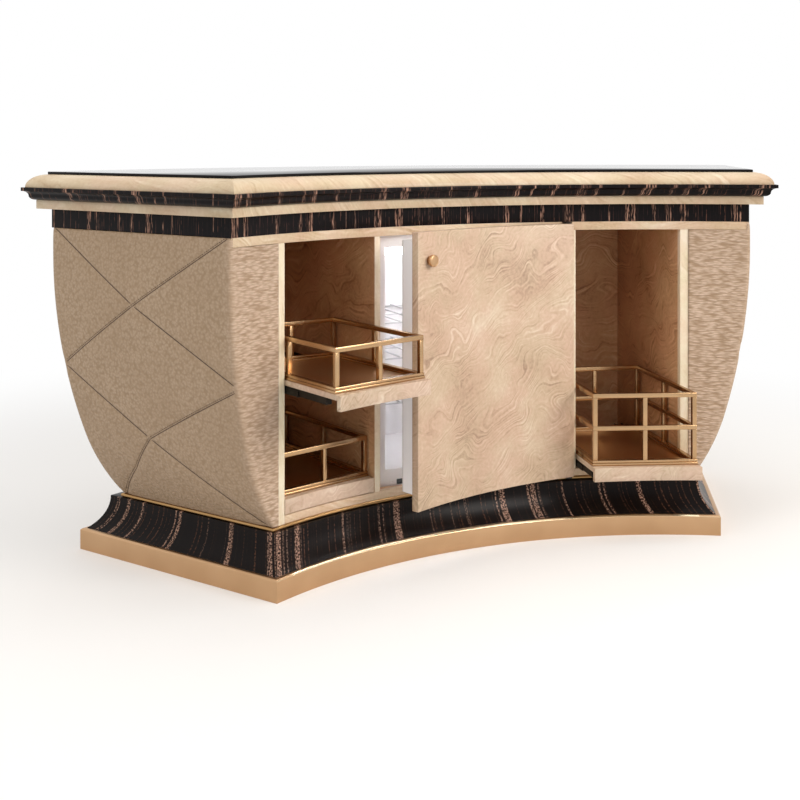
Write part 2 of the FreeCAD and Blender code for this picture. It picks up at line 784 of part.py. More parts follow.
# Fridge: insulated case, liner, shelves, light, control strip and inlet
def make_fridge():
    low = "body_low + board_thick"
    high = f"{BODY_TOP} - top_board_thick - fridge_clear"
    front = "fridge_front"
    back = "fridge_front + fridge_depth"
    case = box(("-fridge_half", "fridge_half"), (front, back), (low, high))
    inner = "fridge_half - fridge_wall"
    room_low = f"{low} + fridge_floor"
    room_high = f"{high} - fridge_wall"
    room_back = f"{back} - fridge_wall"
    room = box((f"-({inner})", inner), (front, room_back), (room_low, room_high))
    strip_low = low
    strip_high = f"{strip_low} + strip_height"
    strip_span = (("-strip_half", "strip_half"), (front, f"{front} + strip_thick"), (strip_low, strip_high))
    middle = f"({strip_low} + strip_height / 2)"
    well = box(
        ("-button_place - button_size * 0.85", "-button_place + button_size * 0.85"),
        (front, f"{front} + button_depth + strip_thick"),
        (f"{middle} - button_size * 0.85", f"{middle} + button_size * 0.85"),
    )
    hollow = cut(cut(cut(case, room), box(*strip_span)), well)
    node(hollow, "fridge_case", counter())
    skin = "liner_skin"
    inside = box(
        (f"-({inner} - {skin})", f"{inner} - {skin}"),
        (front, f"{room_back} - {skin}"),
        (f"{room_low} + {skin}", f"{room_high} - {skin}"),
    )
    shell = cut(
        box((f"-({inner})", inner), (front, room_back), (room_low, room_high)),
        inside,
    )
    wall = f"{inner} - {skin}"
    levels = [f"{room_low} + {shelf}" for shelf in ("shelf_low", "shelf_middle", "shelf_high")]
    ribs = []
    for level in levels:
        for side in (LEFT, RIGHT):
            span = across(side, f"{wall} - rib_depth", wall)
            depth = (f"{front} + rib_width", f"{room_back} - {skin}")
            ribs.append(box(span, depth, (f"{level} - rib_depth", level)))
    for side in (LEFT, RIGHT):
        place = f"{side} * ({inner}) / 3"
        span = (f"{place} - rib_width / 2", f"{place} + rib_width / 2")
        depth = (f"{room_back} - {skin} - rib_depth", f"{room_back} - {skin}")
        ribs.append(box(span, depth, (f"{room_low} + {skin}", f"{room_high} - {skin}")))
    node(fuse(shell, *ribs), "fridge_liner", counter())
    shelves = []
    for level in levels:
        shelves.append(make_shelf(level, wall, front, f"{room_back} - {skin} - rib_depth"))
    node(group(*shelves), "wire_shelves", counter())
    light = box(
        (f"-({wall})", wall),
        (f"{front} + rib_width", f"{front} + rib_width + light_depth"),
        (f"{room_high} - {skin} - light_height", f"{room_high} - {skin}"),
    )
    node(group(light), "fridge_light", counter())
    gap = "button_gap"
    window = box(
        ("-display_place - display_wide / 2", "-display_place + display_wide / 2"),
        strip_span[1],
        (f"{middle} - display_high / 2", f"{middle} + display_high / 2"),
    )
    hole = box(
        (f"-button_place - button_size / 2 - {gap}", f"-button_place + button_size / 2 + {gap}"),
        strip_span[1],
        (f"{middle} - button_size / 2 - {gap}", f"{middle} + button_size / 2 + {gap}"),
    )
    node(cut(cut(box(*strip_span), window), hole), "control_strip", counter())
    display = box(
        ("-display_place - display_wide / 2", "-display_place + display_wide / 2"),
        strip_span[1],
        (f"{middle} - display_high / 2", f"{middle} + display_high / 2"),
    )
    node(group(display), "display_window", counter())
    head = box(
        ("-button_place - button_size / 2", "-button_place + button_size / 2"),
        (front, f"{front} + strip_thick + button_gap"),
        (f"{middle} - button_size / 2", f"{middle} + button_size / 2"),
    )
    flange = box(
        ("-button_place - button_size * 0.7", "-button_place + button_size * 0.7"),
        (f"{front} + strip_thick + {gap}", f"{front} + strip_thick + {gap} + button_flange"),
        (f"{middle} - button_size * 0.7", f"{middle} + button_size * 0.7"),
    )
    node(fuse(head, flange), "power_button", counter())
    inlet = box(
        ("-inlet_wide / 2", "inlet_wide / 2"),
        (back, f"{back} + inlet_depth"),
        (f"{low} + inlet_high", f"{low} + inlet_high * 2"),
    )
    socket = box(
        ("-inlet_wide / 3", "inlet_wide / 3"),
        (f"{back} + inlet_depth / 3", f"{back} + inlet_depth"),
        (f"{low} + inlet_high * 1.2", f"{low} + inlet_high * 1.8"),
    )
    node(cut(inlet, socket), "mains_inlet", counter())


def make_shelf(level, half, front, back):
    """Wire shelf: wires from front to back on cross bars, resting on the liner's ribs."""
    top = f"{level} + wire_thick"
    start = f"{front} + rib_width"
    width = (f"-({half}) + fit_gap", f"{half} - fit_gap")
    run = f"(({back}) - ({start}) - wire_thick * 2)"
    wires = []
    for share in (0, 0.5, 1):
        place = f"{start} + {run} * {share}"
        wires.append(box(width, (place, f"{place} + wire_thick * 2"), (level, top)))
    count = int(value(f"2 * ({half})") // value("wire_pitch")) - 1
    for index in range(count):
        place = f"wire_pitch * {index - (count - 1) / 2}"
        span = (f"{place} - wire_thick / 2", f"{place} + wire_thick / 2")
        wires.append(box(span, (start, back), (top, f"{top} + wire_thick")))
    return fuse(*wires)


def edge_lines(corners, side):
    """Edges of a tray's plan as (point, unit direction, inward normal)."""
    lines = []
    for index, corner in enumerate(corners):
        along = (corners[(index + 1) % len(corners)] - corner).normalize()
        inward = Vector(-along.y, along.x, 0) * side
        lines.append((corner, along, inward))
    return lines


def crossing(first, first_inset, second, second_inset):
    """Point where two edges meet once each is moved inwards."""
    a = first[0] + first[2] * first_inset
    b = second[0] + second[2] * second_inset
    turn = first[1].x * second[1].y - first[1].y * second[1].x
    gap = b - a
    reach = (gap.x * second[1].y - gap.y * second[1].x) / turn
    return a + first[1] * reach


def gallery(side, base, tiers):
    """Brass gallery in a bay's frame: stepped base, rails and posts; also the plan of its floor."""
    half = value("partition_thick / 2")
    near = half + value("tray_gap + gallery_inset")
    far = half + value("bay_width - tray_gap - gallery_inset")
    radius = value("face_radius + gallery_setback")
    rear = value("tray_rear - gallery_inset")
    front = [(x, math.sqrt(radius ** 2 - x ** 2)) for x in (near, far)]
    plan = front + [(far, rear), (near, rear)]
    lines = edge_lines([Vector(side * x, y, 0) for x, y in plan], side)
    step, rise = value("step_width"), value("step_height")
    bar, setback = value("rod_width"), value("bar_setback")
    levels = [base + top for top in tiers]
    solids = []

    def frame(outer, inner, low, high):
        for index, line in enumerate(lines):
            before, after = lines[index - 1], lines[(index + 1) % 4]
            points = [
                crossing(before, outer, line, outer),
                crossing(line, outer, after, outer),
                crossing(line, inner, after, inner),
                crossing(before, inner, line, inner),
            ]
            solids.append(prism(points, low, high))

    frame(0, step, base, base + rise)
    frame(setback / 2, step - setback / 2, base + rise, base + 2 * rise)
    foot = base + 2 * rise
    for level in levels:
        head = level - bar
        for index, line in enumerate(lines):
            before, after = lines[index - 1], lines[(index + 1) % 4]
            back = setback + bar
            insets = ((setback, setback), (setback, back), (back, back), (back, setback))
            solids.append(prism([crossing(before, one, line, two) for one, two in insets], foot, head))
            middle = (crossing(before, 0, line, 0) + crossing(line, 0, after, 0)) * 0.5
            ends = [middle + line[1] * (bar / 2 * sign) for sign in (-1, 1)]
            posts = [ends[0] + line[2] * setback, ends[1] + line[2] * setback]
            posts += [ends[1] + line[2] * back, ends[0] + line[2] * back]
            solids.append(prism(posts, foot, head))
        frame(setback, setback + bar, head, level)
        foot = level
    gap = step + value("fit_gap")
    floor = [crossing(lines[index - 1], gap, line, gap) for index, line in enumerate(lines)]
    return Part.makeCompound(solids), prism(floor, base, base + value("mirror_thick"))


def runner_spans(side, width):
    """Spans of a pair of runner members across a bay, centred in its two fixed rails."""
    near = "partition_thick / 2 + rail_width / 2"
    far = "partition_thick / 2 + bay_width - rail_width / 2"
    return [across(side, f"{middle} - ({width}) / 2", f"{middle} + ({width}) / 2") for middle in (near, far)]


def channel(span, wall, length, low, high):
    """Length of upright channel, open at the top."""
    low_x, high_x = span
    inner = (f"{low_x} + {wall}", f"{high_x} - {wall}")
    return cut(box(span, length, (low, high)), box(inner, length, (f"{low} + {wall}", high)))


# Pull-out trays on telescopic runners
def make_trays():
    fixed = []
    run = ("rail_front", "rail_front + rail_length")
    trays = (
        ("upper_tray", LEFT, "upper_tray", ("one_tier",), "upper_out"),
        ("lower_tray", LEFT, "lower_tray", ("one_tier",), "0"),
        ("right_tray", RIGHT, "lower_tray", ("one_tier", "two_tier"), "right_out"),
    )
    for name, side, top, tiers, out in trays:
        out = value(out)
        near = "partition_thick / 2 + tray_gap"
        far = "partition_thick / 2 + bay_width - tray_gap"
        reach = across(side, near, far)
        low = f"{top} - tray_thick"
        back = "face_radius + apron_thick"
        board = cut(box(reach, ("0", "tray_rear"), (low, top)), disc(back, low, top))
        hem = f"{top} - apron_height"
        apron = common(ring("face_radius", back, hem, top), box(reach, ("0", str(FAR)), (hem, top)))
        node(group(board, apron), f"{name}_board", bay(side, out))
        bars, floor = gallery(side, value(top), [value(tier) for tier in tiers])
        node(code_shape(bars), f"{name}_gallery", bay(side, out))
        node(code_shape(floor), f"{name}_mirror", bay(side, out))
        rail_low = f"{low} - rail_height - flange_thick * 1.5"
        rim = f"{rail_low} + rail_height"
        mid_width = "rail_width - rail_wall * 2 - rail_play * 2"
        mid_low = f"{rail_low} + rail_wall + rail_play"
        web_width = f"{mid_width} - rail_wall * 2 - rail_play * 2"
        web_low = f"{mid_low} + rail_wall + rail_play"
        for span in runner_spans(side, "rail_width"):
            rail = channel(span, "rail_wall", run, rail_low, rim)
            rail.Placement = turned(side * value("bay_angle"))
            fixed.append(rail)
        middles = [channel(span, "rail_wall", run, mid_low, rim) for span in runner_spans(side, mid_width)]
        node(group(*middles), f"{name}_mid_rails", bay(side, out / 2))
        uppers = []
        flanges = runner_spans(side, "rail_width - tray_gap * 2")
        for web, flange in zip(runner_spans(side, web_width), flanges):
            upright = box(web, run, (web_low, low))
            uppers.append(fuse(upright, box(flange, run, (f"{low} - flange_thick", low))))
        node(group(*uppers), f"{name}_top_rails", bay(side, out))
    node(group(*fixed), "runner_fixed_rails", counter())


def main():
    make_base()
    make_carcass()
    make_body()
    make_cornice()
    make_door()
    make_fridge()
    make_trays()
    doc.recompute()
    faults = [item.Label for item in doc.Objects if {"Invalid", "Error"} & set(item.State)]
    for item in nodes:
        if item.Shape.isNull() or not item.Shape.isValid() or not item.Shape.Solids:
            faults.append(item.Label)
    if faults:
        raise ValueError("pieces that failed: " + ", ".join(sorted(set(faults))))
    os.makedirs("parts", exist_ok=True)
    for item in nodes:
        item.Shape.exportStep(f"parts/{item.Label}.step")
    print(len(nodes), "pieces written")


main()
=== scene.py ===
# %% [markdown]
# # A curved home bar counter
# A barman stands on the hollow side of this counter and the customers on the other. A brass skirt and an ebony
# plinth carry a leather body shaped like a bowl, and a stepped cornice carries the dark glass top. A fridge hides
# behind the curved door, and trays with brass galleries pull out on either side of it. The CAD model already has
# every size and every joint, so this lesson only dresses it: nothing here moves a CAD piece.

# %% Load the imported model
from math import asin, atan2, cos, degrees, exp, hypot, pi, radians, sin, sqrt, tau

import bmesh
import bpy
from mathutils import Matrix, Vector, noise


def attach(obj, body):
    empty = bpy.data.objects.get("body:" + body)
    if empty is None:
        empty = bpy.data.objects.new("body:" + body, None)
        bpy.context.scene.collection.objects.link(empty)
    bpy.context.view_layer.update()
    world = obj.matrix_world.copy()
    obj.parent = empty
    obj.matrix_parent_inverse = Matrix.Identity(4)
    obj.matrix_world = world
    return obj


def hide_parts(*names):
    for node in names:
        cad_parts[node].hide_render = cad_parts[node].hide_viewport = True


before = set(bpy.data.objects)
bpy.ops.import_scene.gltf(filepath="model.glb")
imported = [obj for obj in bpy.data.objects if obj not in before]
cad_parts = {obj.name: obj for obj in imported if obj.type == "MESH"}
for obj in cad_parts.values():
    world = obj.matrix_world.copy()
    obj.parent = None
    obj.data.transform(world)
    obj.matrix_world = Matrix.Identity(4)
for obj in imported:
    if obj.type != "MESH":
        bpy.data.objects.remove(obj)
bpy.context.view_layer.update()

# %% [markdown]
# The photograph was taken with the camera held level at about the height of the top, and the picture was then
# shifted down to show the floor. A level camera keeps upright edges upright, so the same is done here: no tilt, and
# a vertical shift. The place, the lens and the shift come from a fit to the counter's own straight and curved edges.

# %% The camera
PICTURE = 800
HORIZON, LENS_PIXELS = 139.99, 1262.61  # in pixels of the picture
STAND = (-1.70245, -3.67188, 1.190)
LOOK = (0.39953, 0.91672)  # the way the camera faces, seen from above
FILM_MM = 36


def show(name, data):
    """New object in the scene, made of a mesh, a lamp or a camera."""
    made = bpy.data.objects.new(name, data)
    bpy.context.scene.collection.objects.link(made)
    return made


camera_data = bpy.data.cameras.new("level_camera")
camera_data.sensor_width = FILM_MM
camera_data.lens = LENS_PIXELS / PICTURE * FILM_MM
camera_data.shift_y = (HORIZON - PICTURE / 2) / PICTURE
camera_data.clip_end = 200
camera = show("level_camera", camera_data)
camera.location = STAND
camera.rotation_euler = (radians(90), 0, -atan2(*LOOK))
bpy.context.scene.camera = camera
print("lens in mm:", round(camera_data.lens, 2), "shift:", round(camera_data.shift_y, 4))

# %% [markdown]
# Colours are written as they look on a screen, in sRGB, while the shaders work in linear light, so one function
# turns one into the other. Every material below is a small graph of nodes. One function joins the sockets of a node
# to what feeds them, and one adds a node with its settings and links.

# %% Colours and nodes
def shade(text):
    """Linear colour, with alpha, of an sRGB hex value."""
    parts = [int(text[i:i + 2], 16) / 255 for i in (1, 3, 5)]
    return [c / 12.92 if c <= 0.04045 else ((c + 0.055) / 1.055) ** 2.4 for c in parts] + [1]


def feed(node, sources):
    """Sockets of a node set to values, or joined to other sockets or to the first output of other nodes."""
    for socket, source in sources.items():
        if isinstance(source, bpy.types.Node):
            source = source.outputs[0]
        if isinstance(source, bpy.types.NodeSocket):
            node.id_data.links.new(source, node.inputs[socket])
        else:
            node.inputs[socket].default_value = source


def add(tree, kind, sources=None, stops=(), **settings):
    """New node: settings are its properties, sources feed its sockets, and stops give a ramp places and hex values."""
    made = tree.nodes.new("ShaderNode" + kind)
    for name, setting in settings.items():
        setattr(made, name, setting)
    feed(made, sources or {})
    for number, (place, text) in enumerate(stops):
        stop = made.color_ramp.elements[number] if number < 2 else made.color_ramp.elements.new(place)
        stop.position, stop.color = place, shade(text)
    return made


def finish_of(name, sockets):
    """New material with its tree and its main shader, whose plain values are set on its own sockets."""
    made = bpy.data.materials.new(name)
    made.use_nodes = True
    shader = made.node_tree.nodes["Principled BSDF"]
    feed(shader, sockets)
    return made, made.node_tree, shader


print("leather in linear light:", [round(c, 3) for c in shade("#A89276")])

# %% [markdown]
# A product picture has a white ground and soft light from all round, with a little more from the barman's side and
# above. The world gives the soft part, and large lamps give the shape. The camera and mirror-like surfaces see the
# world as white, while the light it gives to the counter is lower.

# %% World and lamps
WHITE = "#FFFFFF"
SKY_LIGHT = 0.62


def lamp(name, place, target, size, watts, tint):
    """Rectangular lamp of a size in metres, turned towards its target."""
    data = bpy.data.lights.new(name, "AREA")
    data.shape = "RECTANGLE"
    data.size, data.size_y = size
    data.energy = watts
    data.color = shade(tint)[:3]
    made = show(name, data)
    made.location = place
    made.rotation_euler = (Vector(target) - Vector(place)).to_track_quat("-Z", "Y").to_euler()


def looked_at(tree):
    """One for a ray of the camera, a reflection or a view through glass, and nought for a ray that carries light."""
    path = add(tree, "LightPath")
    seen = path.outputs["Is Camera Ray"]
    for kind in ("Is Glossy Ray", "Is Transmission Ray"):
        seen = add(tree, "Math", {0: seen, 1: path.outputs[kind]}, operation="MAXIMUM")
    return seen


world = bpy.data.worlds.new("studio")
world.use_nodes = True
bpy.context.scene.world = world
tree = world.node_tree
soft_sky = add(tree, "Background", {"Color": shade("#FFFCF8"), "Strength": SKY_LIGHT})
white_sky = add(tree, "Background", {"Color": shade(WHITE), "Strength": 1.0})
sky = add(tree, "MixShader", {0: looked_at(tree), 1: soft_sky, 2: white_sky})
feed(tree.nodes["World Output"], {"Surface": sky})

lamp("barman_key", (2.9, -4.3, 3.0), (-0.1, -0.2, 0.5), (3.0, 2.2), 186, "#FFFAF4")
lamp("left_fill", (-3.5, -1.4, 3.7), (-0.7, 0.0, 0.5), (2.0, 2.0), 45, "#FFFDFA")
lamp("top_soft", (0.0, 0.0, 4.2), (0.0, 0.0, 0.9), (4.2, 3.2), 46, WHITE)
bpy.context.scene.view_settings.view_transform = "Standard"

# %% [markdown]
# The floor is a sheet of light grey paper, which takes the soft shadow under the skirt. For whoever looks at it a faint
# glow lifts the grey to white, and away from the counter it fades to plain white, so no edge of it shows.

# %% Paper floor
PAPER_REACH = 90
PAPER_GLOW = 0.17
FADE_FROM, FADE_TO = 1.3, 3.2  # metres from the counter's middle
FAR_LIGHT = 0.6  # what the white part gives to the counter, where the eye sees one
corners = [(x * PAPER_REACH, y * PAPER_REACH, 0) for x, y in ((-1, -1), (1, -1), (1, 1), (-1, 1))]
floor_mesh = bpy.data.meshes.new("paper_floor")
floor_mesh.from_pydata(corners, [], [(0, 1, 2, 3)])
floor = show("paper_floor", floor_mesh)
paper, tree, shader = finish_of("white_paper_floor", {"Roughness": 0.8, "Base Color": shade("#E2E1E0"),
                                                      "Emission Color": shade(WHITE)})
seen = looked_at(tree)
glow = add(tree, "Math", {0: seen, 1: PAPER_GLOW}, operation="MULTIPLY")
feed(shader, {"Emission Strength": glow})
place = add(tree, "TexCoord").outputs["Object"]
away = add(tree, "VectorMath", {0: place}, operation="LENGTH").outputs["Value"]
fade = add(tree, "MapRange", {"Value": away, "From Min": FADE_FROM, "From Max": FADE_TO},
           interpolation_type="SMOOTHSTEP")
level = add(tree, "Math", {0: seen, 1: 1 - FAR_LIGHT, 2: FAR_LIGHT}, operation="MULTIPLY_ADD")
white = add(tree, "Emission", {"Color": shade(WHITE), "Strength": level})
mix = add(tree, "MixShader", {0: fade, 1: shader, 2: white})
feed(tree.nodes["Material Output"], {"Surface": mix})
floor_mesh.materials.append(paper)
print("paper fades to white from", FADE_FROM, "to", FADE_TO, "metres")

# %% [markdown]
# Solid brass bars, rubbed with fine pads to a satin surface: a warm metal whose highlights are broad and a little
# streaked along the length. The rubbing marks are a fraction of a millimetre wide, too fine to show here, so they are
# drawn at about two millimetres. A picture of rubbed metal would repeat along such long bars, so the marks are noise,
# stretched along the length. The galleries are rubbed finer and the bead's brass is coloured darker. The slanted arris
# along the top of the skirt takes a pale brass colour, a painted highlight that shows as a bright line.

# %% Satin brass
MM = 0.001
MARK_MM, MARK_LONG_MM = 2.0, 83.33
TONE_MM = 111.1
MARK_SCALE = (1000 / MARK_LONG_MM, 1000 / MARK_LONG_MM, 1000 / MARK_MM)


def brass(name, low, high, rough):
    """Metal with its tone in soft clouds, and its gloss in marks along the bar."""
    made, tree, shader = finish_of(name, {"Metallic": 1.0})
    place = add(tree, "TexCoord").outputs["Object"]
    stretch = add(tree, "Mapping", {"Vector": place, "Scale": MARK_SCALE})
    marks = add(tree, "TexNoise", {"Vector": stretch, "Scale": 1.0, "Detail": 3})
    cloud = add(tree, "TexNoise", {"Vector": place, "Scale": 1000 / TONE_MM, "Detail": 2})
    tone = add(tree, "ValToRGB", {"Fac": cloud}, [(0.3, low), (0.7, high)])
    gloss = add(tree, "MapRange", {"Value": marks, "To Min": rough[0], "To Max": rough[1]})
    relief = add(tree, "Bump", {"Height": marks, "Strength": 0.06, "Distance": 0.5 * MM})
    feed(shader, {"Base Color": tone, "Roughness": gloss, "Normal": relief})
    return made


satin_brass = brass("satin_brass", "#C09B75", "#C8A37D", (0.34, 0.44))
gallery_brass = brass("fine_satin_brass", "#B6946D", "#BE9C76", (0.2, 0.27))
# The bead's brass is coloured darker.
bead_brass = brass("darker_satin_brass", "#A98557", "#B28E61", (0.3, 0.38))
# Painted highlight: a pale brass colour for the skirt's slanted arris on the barman's and the customers' sides.
painted_highlight_brass = brass("brass_edge_painted_highlight", "#EBD7B0", "#F2E0BE", (0.2, 0.26))
print([m.name for m in bpy.data.materials if "brass" in m.name])

# %% [markdown]
# Striped ebony veneer, laid with its grain upright and lacquered: almost black, with fine broken lines in brown and now
# and then a wider stripe. On the plinth the stripes are broken up into pinkish flecks, and on the cornice they are
# pairs of lines. The stripes follow the length of each moulding, so the pattern reads the distance along it, in metres,
# from the UV map that the mouldings below carry. A wave would give even stripes, like cloth, while noise along that
# one line gives stripes of uneven width and spacing.

# %% Striped ebony
WANDER_MM, WANDER_WIDE_MM = 71.43, 4.0  # how long and how wide a stripe strays from upright


def striped(name, stripe_mm, line_mm, fleck_mm, tones):
    """Ebony whose flecks are the spots, of a width and a height, that break its stripes up."""
    made, tree, shader = finish_of(name, {"Roughness": 0.3, "Specular IOR Level": 0.1})
    place = add(tree, "UVMap")
    wander = add(tree, "TexNoise", {"Vector": place, "Scale": 1000 / WANDER_MM, "Detail": 2})
    stray = (WANDER_WIDE_MM * MM, 0, 0)
    shift = add(tree, "VectorMath", {0: wander.outputs["Color"], 1: stray}, operation="MULTIPLY")
    along = add(tree, "VectorMath", {0: place, 1: shift}, operation="ADD")
    distance = add(tree, "SeparateXYZ", {0: along}).outputs["X"]
    lines = []
    # A line shows fully where the noise along the length passes the second share, and not at all below the first.
    for wide_mm, low, high, detail in ((stripe_mm, 0.57, 0.62, 1), (line_mm, 0.42, 0.5, 0),
                                       (line_mm * 0.7, 0.54, 0.72, 2)):
        spread = add(tree, "TexNoise", {"W": distance, "Scale": 1000 / wide_mm, "Detail": detail},
                     noise_dimensions="1D")
        lines.append(add(tree, "MapRange", {"Value": spread, "From Min": low, "From Max": high}))
    wide, split, thin = lines
    size = (1000 / fleck_mm[0], 1000 / fleck_mm[1], 1)
    scaled = add(tree, "Mapping", {"Vector": along, "Scale": size})
    spots = add(tree, "TexNoise", {"Vector": scaled, "Scale": 1.0, "Detail": 2})
    broken = add(tree, "MapRange", {"Value": spots, "From Min": 0.44, "From Max": 0.54})
    stripe = add(tree, "Math", {0: wide, 1: split}, operation="MULTIPLY")
    shown = add(tree, "Math", {0: stripe, 1: broken}, operation="MULTIPLY")
    faint = add(tree, "Math", {0: thin, 1: broken}, operation="MULTIPLY")
    ground = add(tree, "ValToRGB", {"Fac": faint}, zip((0.0, 0.5, 1.0), tones))
    warm = add(tree, "ValToRGB", {"Fac": spots}, zip((0.44, 0.6), tones[2:]))
    colour = add(tree, "Mix", {0: shown, 6: ground, 7: warm}, data_type="RGBA")
    feed(shader, {"Base Color": colour.outputs[2]})
    return made


flecked_ebony = striped("flecked_ebony", 60, 12, (4.0, 5.0), ("#110B0A", "#21160F", "#57392B", "#B38F7C"))
lined_ebony = striped("lined_ebony", 40, 6, (3.0, 30.0), ("#100C0D", "#2A1C1B", "#664539", "#B48C78"))
print("ebony:", flecked_ebony.name, lined_ebony.name)

# %% [markdown]
# Pale burr veneer under satin lacquer. Where a burr is sliced, its growth rings flow in fine lines a few millimetres
# apart, and bend round knots into swirls and eyes. Plain noise would give only clouds. A slope with a noise field added
# gives a bent surface, and noise read along its height alone draws the lines: every line keeps to one height, as on a
# map, and no two spacings are alike. The lines are strong in some patches and faint in others, and a drift of tone and
# a fine speckle lie over them.

# %% Pale burr veneer
RIPPLE_MM = 6.0
DRIFT, SPECKLE = 0.55, 0.22  # their shares of the tone, beside the lines


def burr(name, tones, ring_mm, knot_mm=125, bend=0.15, lean=(-0.45, 0.15, 0.68), contrast=0.65):
    """Veneer whose figure is drawn in the solid, so that it carries on round an edge."""
    made, tree, shader = finish_of(name, {"Roughness": 0.38, "Specular IOR Level": 0.3})
    place = add(tree, "TexCoord").outputs["Object"]
    clouds = {}
    for use, size_mm, detail, roughness, distortion in (
            ("ripple", 22, 2, 0.5, 0.0), ("knots", knot_mm, 1.5, 0.4, 0.4), ("patches", 55, 4, 0.5, 0.0),
            ("drift", 160, 5, 0.5, 0.0), ("speckle", 9, 3, 0.5, 0.0), ("blush", 130, 4, 0.6, 0.0)):
        clouds[use] = add(tree, "TexNoise", {"Vector": place, "Scale": 1000 / size_mm, "Detail": detail,
                                             "Roughness": roughness, "Distortion": distortion})
    slope = add(tree, "VectorMath", {0: place, 1: lean}, operation="DOT_PRODUCT").outputs["Value"]
    rippled = add(tree, "Math", {0: clouds["ripple"], 1: RIPPLE_MM * MM, 2: slope}, operation="MULTIPLY_ADD")
    height = add(tree, "Math", {0: clouds["knots"], 1: bend, 2: rippled}, operation="MULTIPLY_ADD")
    lines = add(tree, "TexNoise", {"W": height, "Scale": 1000 / ring_mm, "Detail": 3, "Roughness": 0.6},
                noise_dimensions="1D")
    strength = add(tree, "MapRange", {"Value": clouds["patches"], "From Min": 0.4, "From Max": 0.62,
                                      "To Min": 0.2 * contrast, "To Max": contrast})
    tone = 0.5
    for part, share in ((lines, strength), (clouds["drift"], DRIFT), (clouds["speckle"], SPECKLE)):
        centred = add(tree, "Math", {0: part, 1: 0.5}, operation="SUBTRACT")
        tone = add(tree, "Math", {0: centred, 1: share, 2: tone}, operation="MULTIPLY_ADD")
    colour = add(tree, "ValToRGB", {"Fac": tone}, zip((0.3, 0.44, 0.56, 0.72), tones))
    blush = add(tree, "ValToRGB", {"Fac": clouds["blush"]}, [(0.4, "#FEFFFA"), (0.6, "#FFF8F6")])
    tinted = add(tree, "Mix", {0: 1.0, 6: colour, 7: blush}, data_type="RGBA", blend_type="MULTIPLY")
    relief = add(tree, "Bump", {"Height": lines, "Strength": 0.05, "Distance": 0.4 * MM})
    feed(shader, {"Base Color": tinted.outputs[2], "Normal": relief})
    return made


# Four tones, the spacing of the rings and the size of the knots in mm, then the bend, the lean and the contrast.
door_veneer = burr("pale_burr_veneer", ("#A58B76", "#C4AA92", "#D1B9A2", "#E2D2BF"), 7, 125, 0.17)
apron_veneer = burr("apron_veneer", ("#B0967F", "#C8B09B", "#D4BFAB", "#E2D4C3"), 7, 80, 0.1)
stile_veneer = burr("stile_veneer", ("#D8C5A6", "#E8D9BE", "#EFE3CC", "#F5ECDB"), 9, 300, 0.1, (0.6, 0.5, 0.1))
rail_veneer = burr("rail_veneer", ("#B99C7D", "#D0B698", "#DAC4AA", "#E6D6C2"), 9, 260, 0.14, (0.1, 0.2, 0.9))
trim_veneer = burr("trim_veneer", ("#B89E80", "#CAB396", "#D4C0A5", "#E1D2BA"), 9, 140, 0.05, (0.5, 0.2, 0.35))
edge_veneer = burr("door_edge_veneer", ("#86694F", "#9C7C60", "#AA8B6E", "#BB9F83"), 9)
# Painted shade: the bays' inside is the same pale burr, coloured darker and browner for the shade inside the bays.
bay_veneer_painted_shade = burr("bay_veneer_painted_shade", ("#986F4D", "#BD936E", "#CBA17B", "#DBB994"), 9, 140, 0.17, (0.1, 0.2, 0.7), 0.8)
plywood = burr("birch_plywood", ("#B08D63", "#C2A177", "#CBAC84", "#D3B78F"), 12, 320, 0.1, (0.3, 0.6, 0.2))
print("veneers:", [m.name for m in bpy.data.materials if "veneer" in m.name])

# %% [markdown]
# Pebbled leather: a full-grain hide, shrunk so that its surface draws up into small soft pebbles. On the narrow strips
# beside the bays the hide was pulled sideways, so its pebbles run together into level wrinkles. The strips face the
# barman's side and are coloured paler than the panels and the customers' side, though it is one leather: painted light
# on the strips and painted shade elsewhere. The valleys between the pebbles are coloured darker, as painted shade, most
# of all on the strips. How far it is pulled is a number that the mesh of the cover carries at every point, so one hide
# changes over smoothly round the corner, and that number also sets the painted light of the strips. Modelled pebbles
# would take millions of faces, so they are cells in the bump, drawn at eight millimetres, about twice their size, to
# show.

# %% Pebbled leather and waxed thread
PEBBLE_MM = 8.0
PULLED_MM = (22.4, 4.96)  # width and height of a pebble where the hide is pulled
CLOUD_MM = 142.9
TWIST_MM = 1.4286
leather, tree, shader = finish_of("pebbled_leather", {"Roughness": 0.56, "IOR": 1.45, "Specular IOR Level": 0.4,
                                                      "Sheen Weight": 0.12})
place = add(tree, "TexCoord").outputs["Object"]
# How far the hide is drawn; it also sets the painted light of the strips and the painted shade of the panels in the
# colour below.
drawn = add(tree, "Attribute", attribute_name="drawn").outputs["Fac"]


def pebbles(wide_mm, tall_mm):
    """Height of the grain, from one on a pebble to nought in a valley."""
    size = (1000 / wide_mm, 1000 / wide_mm, 1000 / tall_mm)
    scaled = add(tree, "Mapping", {"Vector": place, "Scale": size})
    stir = add(tree, "TexNoise", {"Vector": scaled, "Scale": 0.9, "Detail": 2})
    stirred = add(tree, "VectorMath", {0: scaled, 1: stir.outputs["Color"]}, operation="ADD")
    cells = add(tree, "TexVoronoi", {"Vector": stirred, "Scale": 1.0, "Smoothness": 0.6}, feature="SMOOTH_F1")
    return add(tree, "MapRange", {"Value": cells, "From Min": 0.2, "From Max": 0.75, "To Min": 1.0, "To Max": 0.0})


grain = add(tree, "Mix", {0: drawn, 2: pebbles(PEBBLE_MM, PEBBLE_MM), 3: pebbles(*PULLED_MM)}, data_type="FLOAT")
cloud = add(tree, "TexNoise", {"Vector": place, "Scale": 1000 / CLOUD_MM, "Detail": 4})
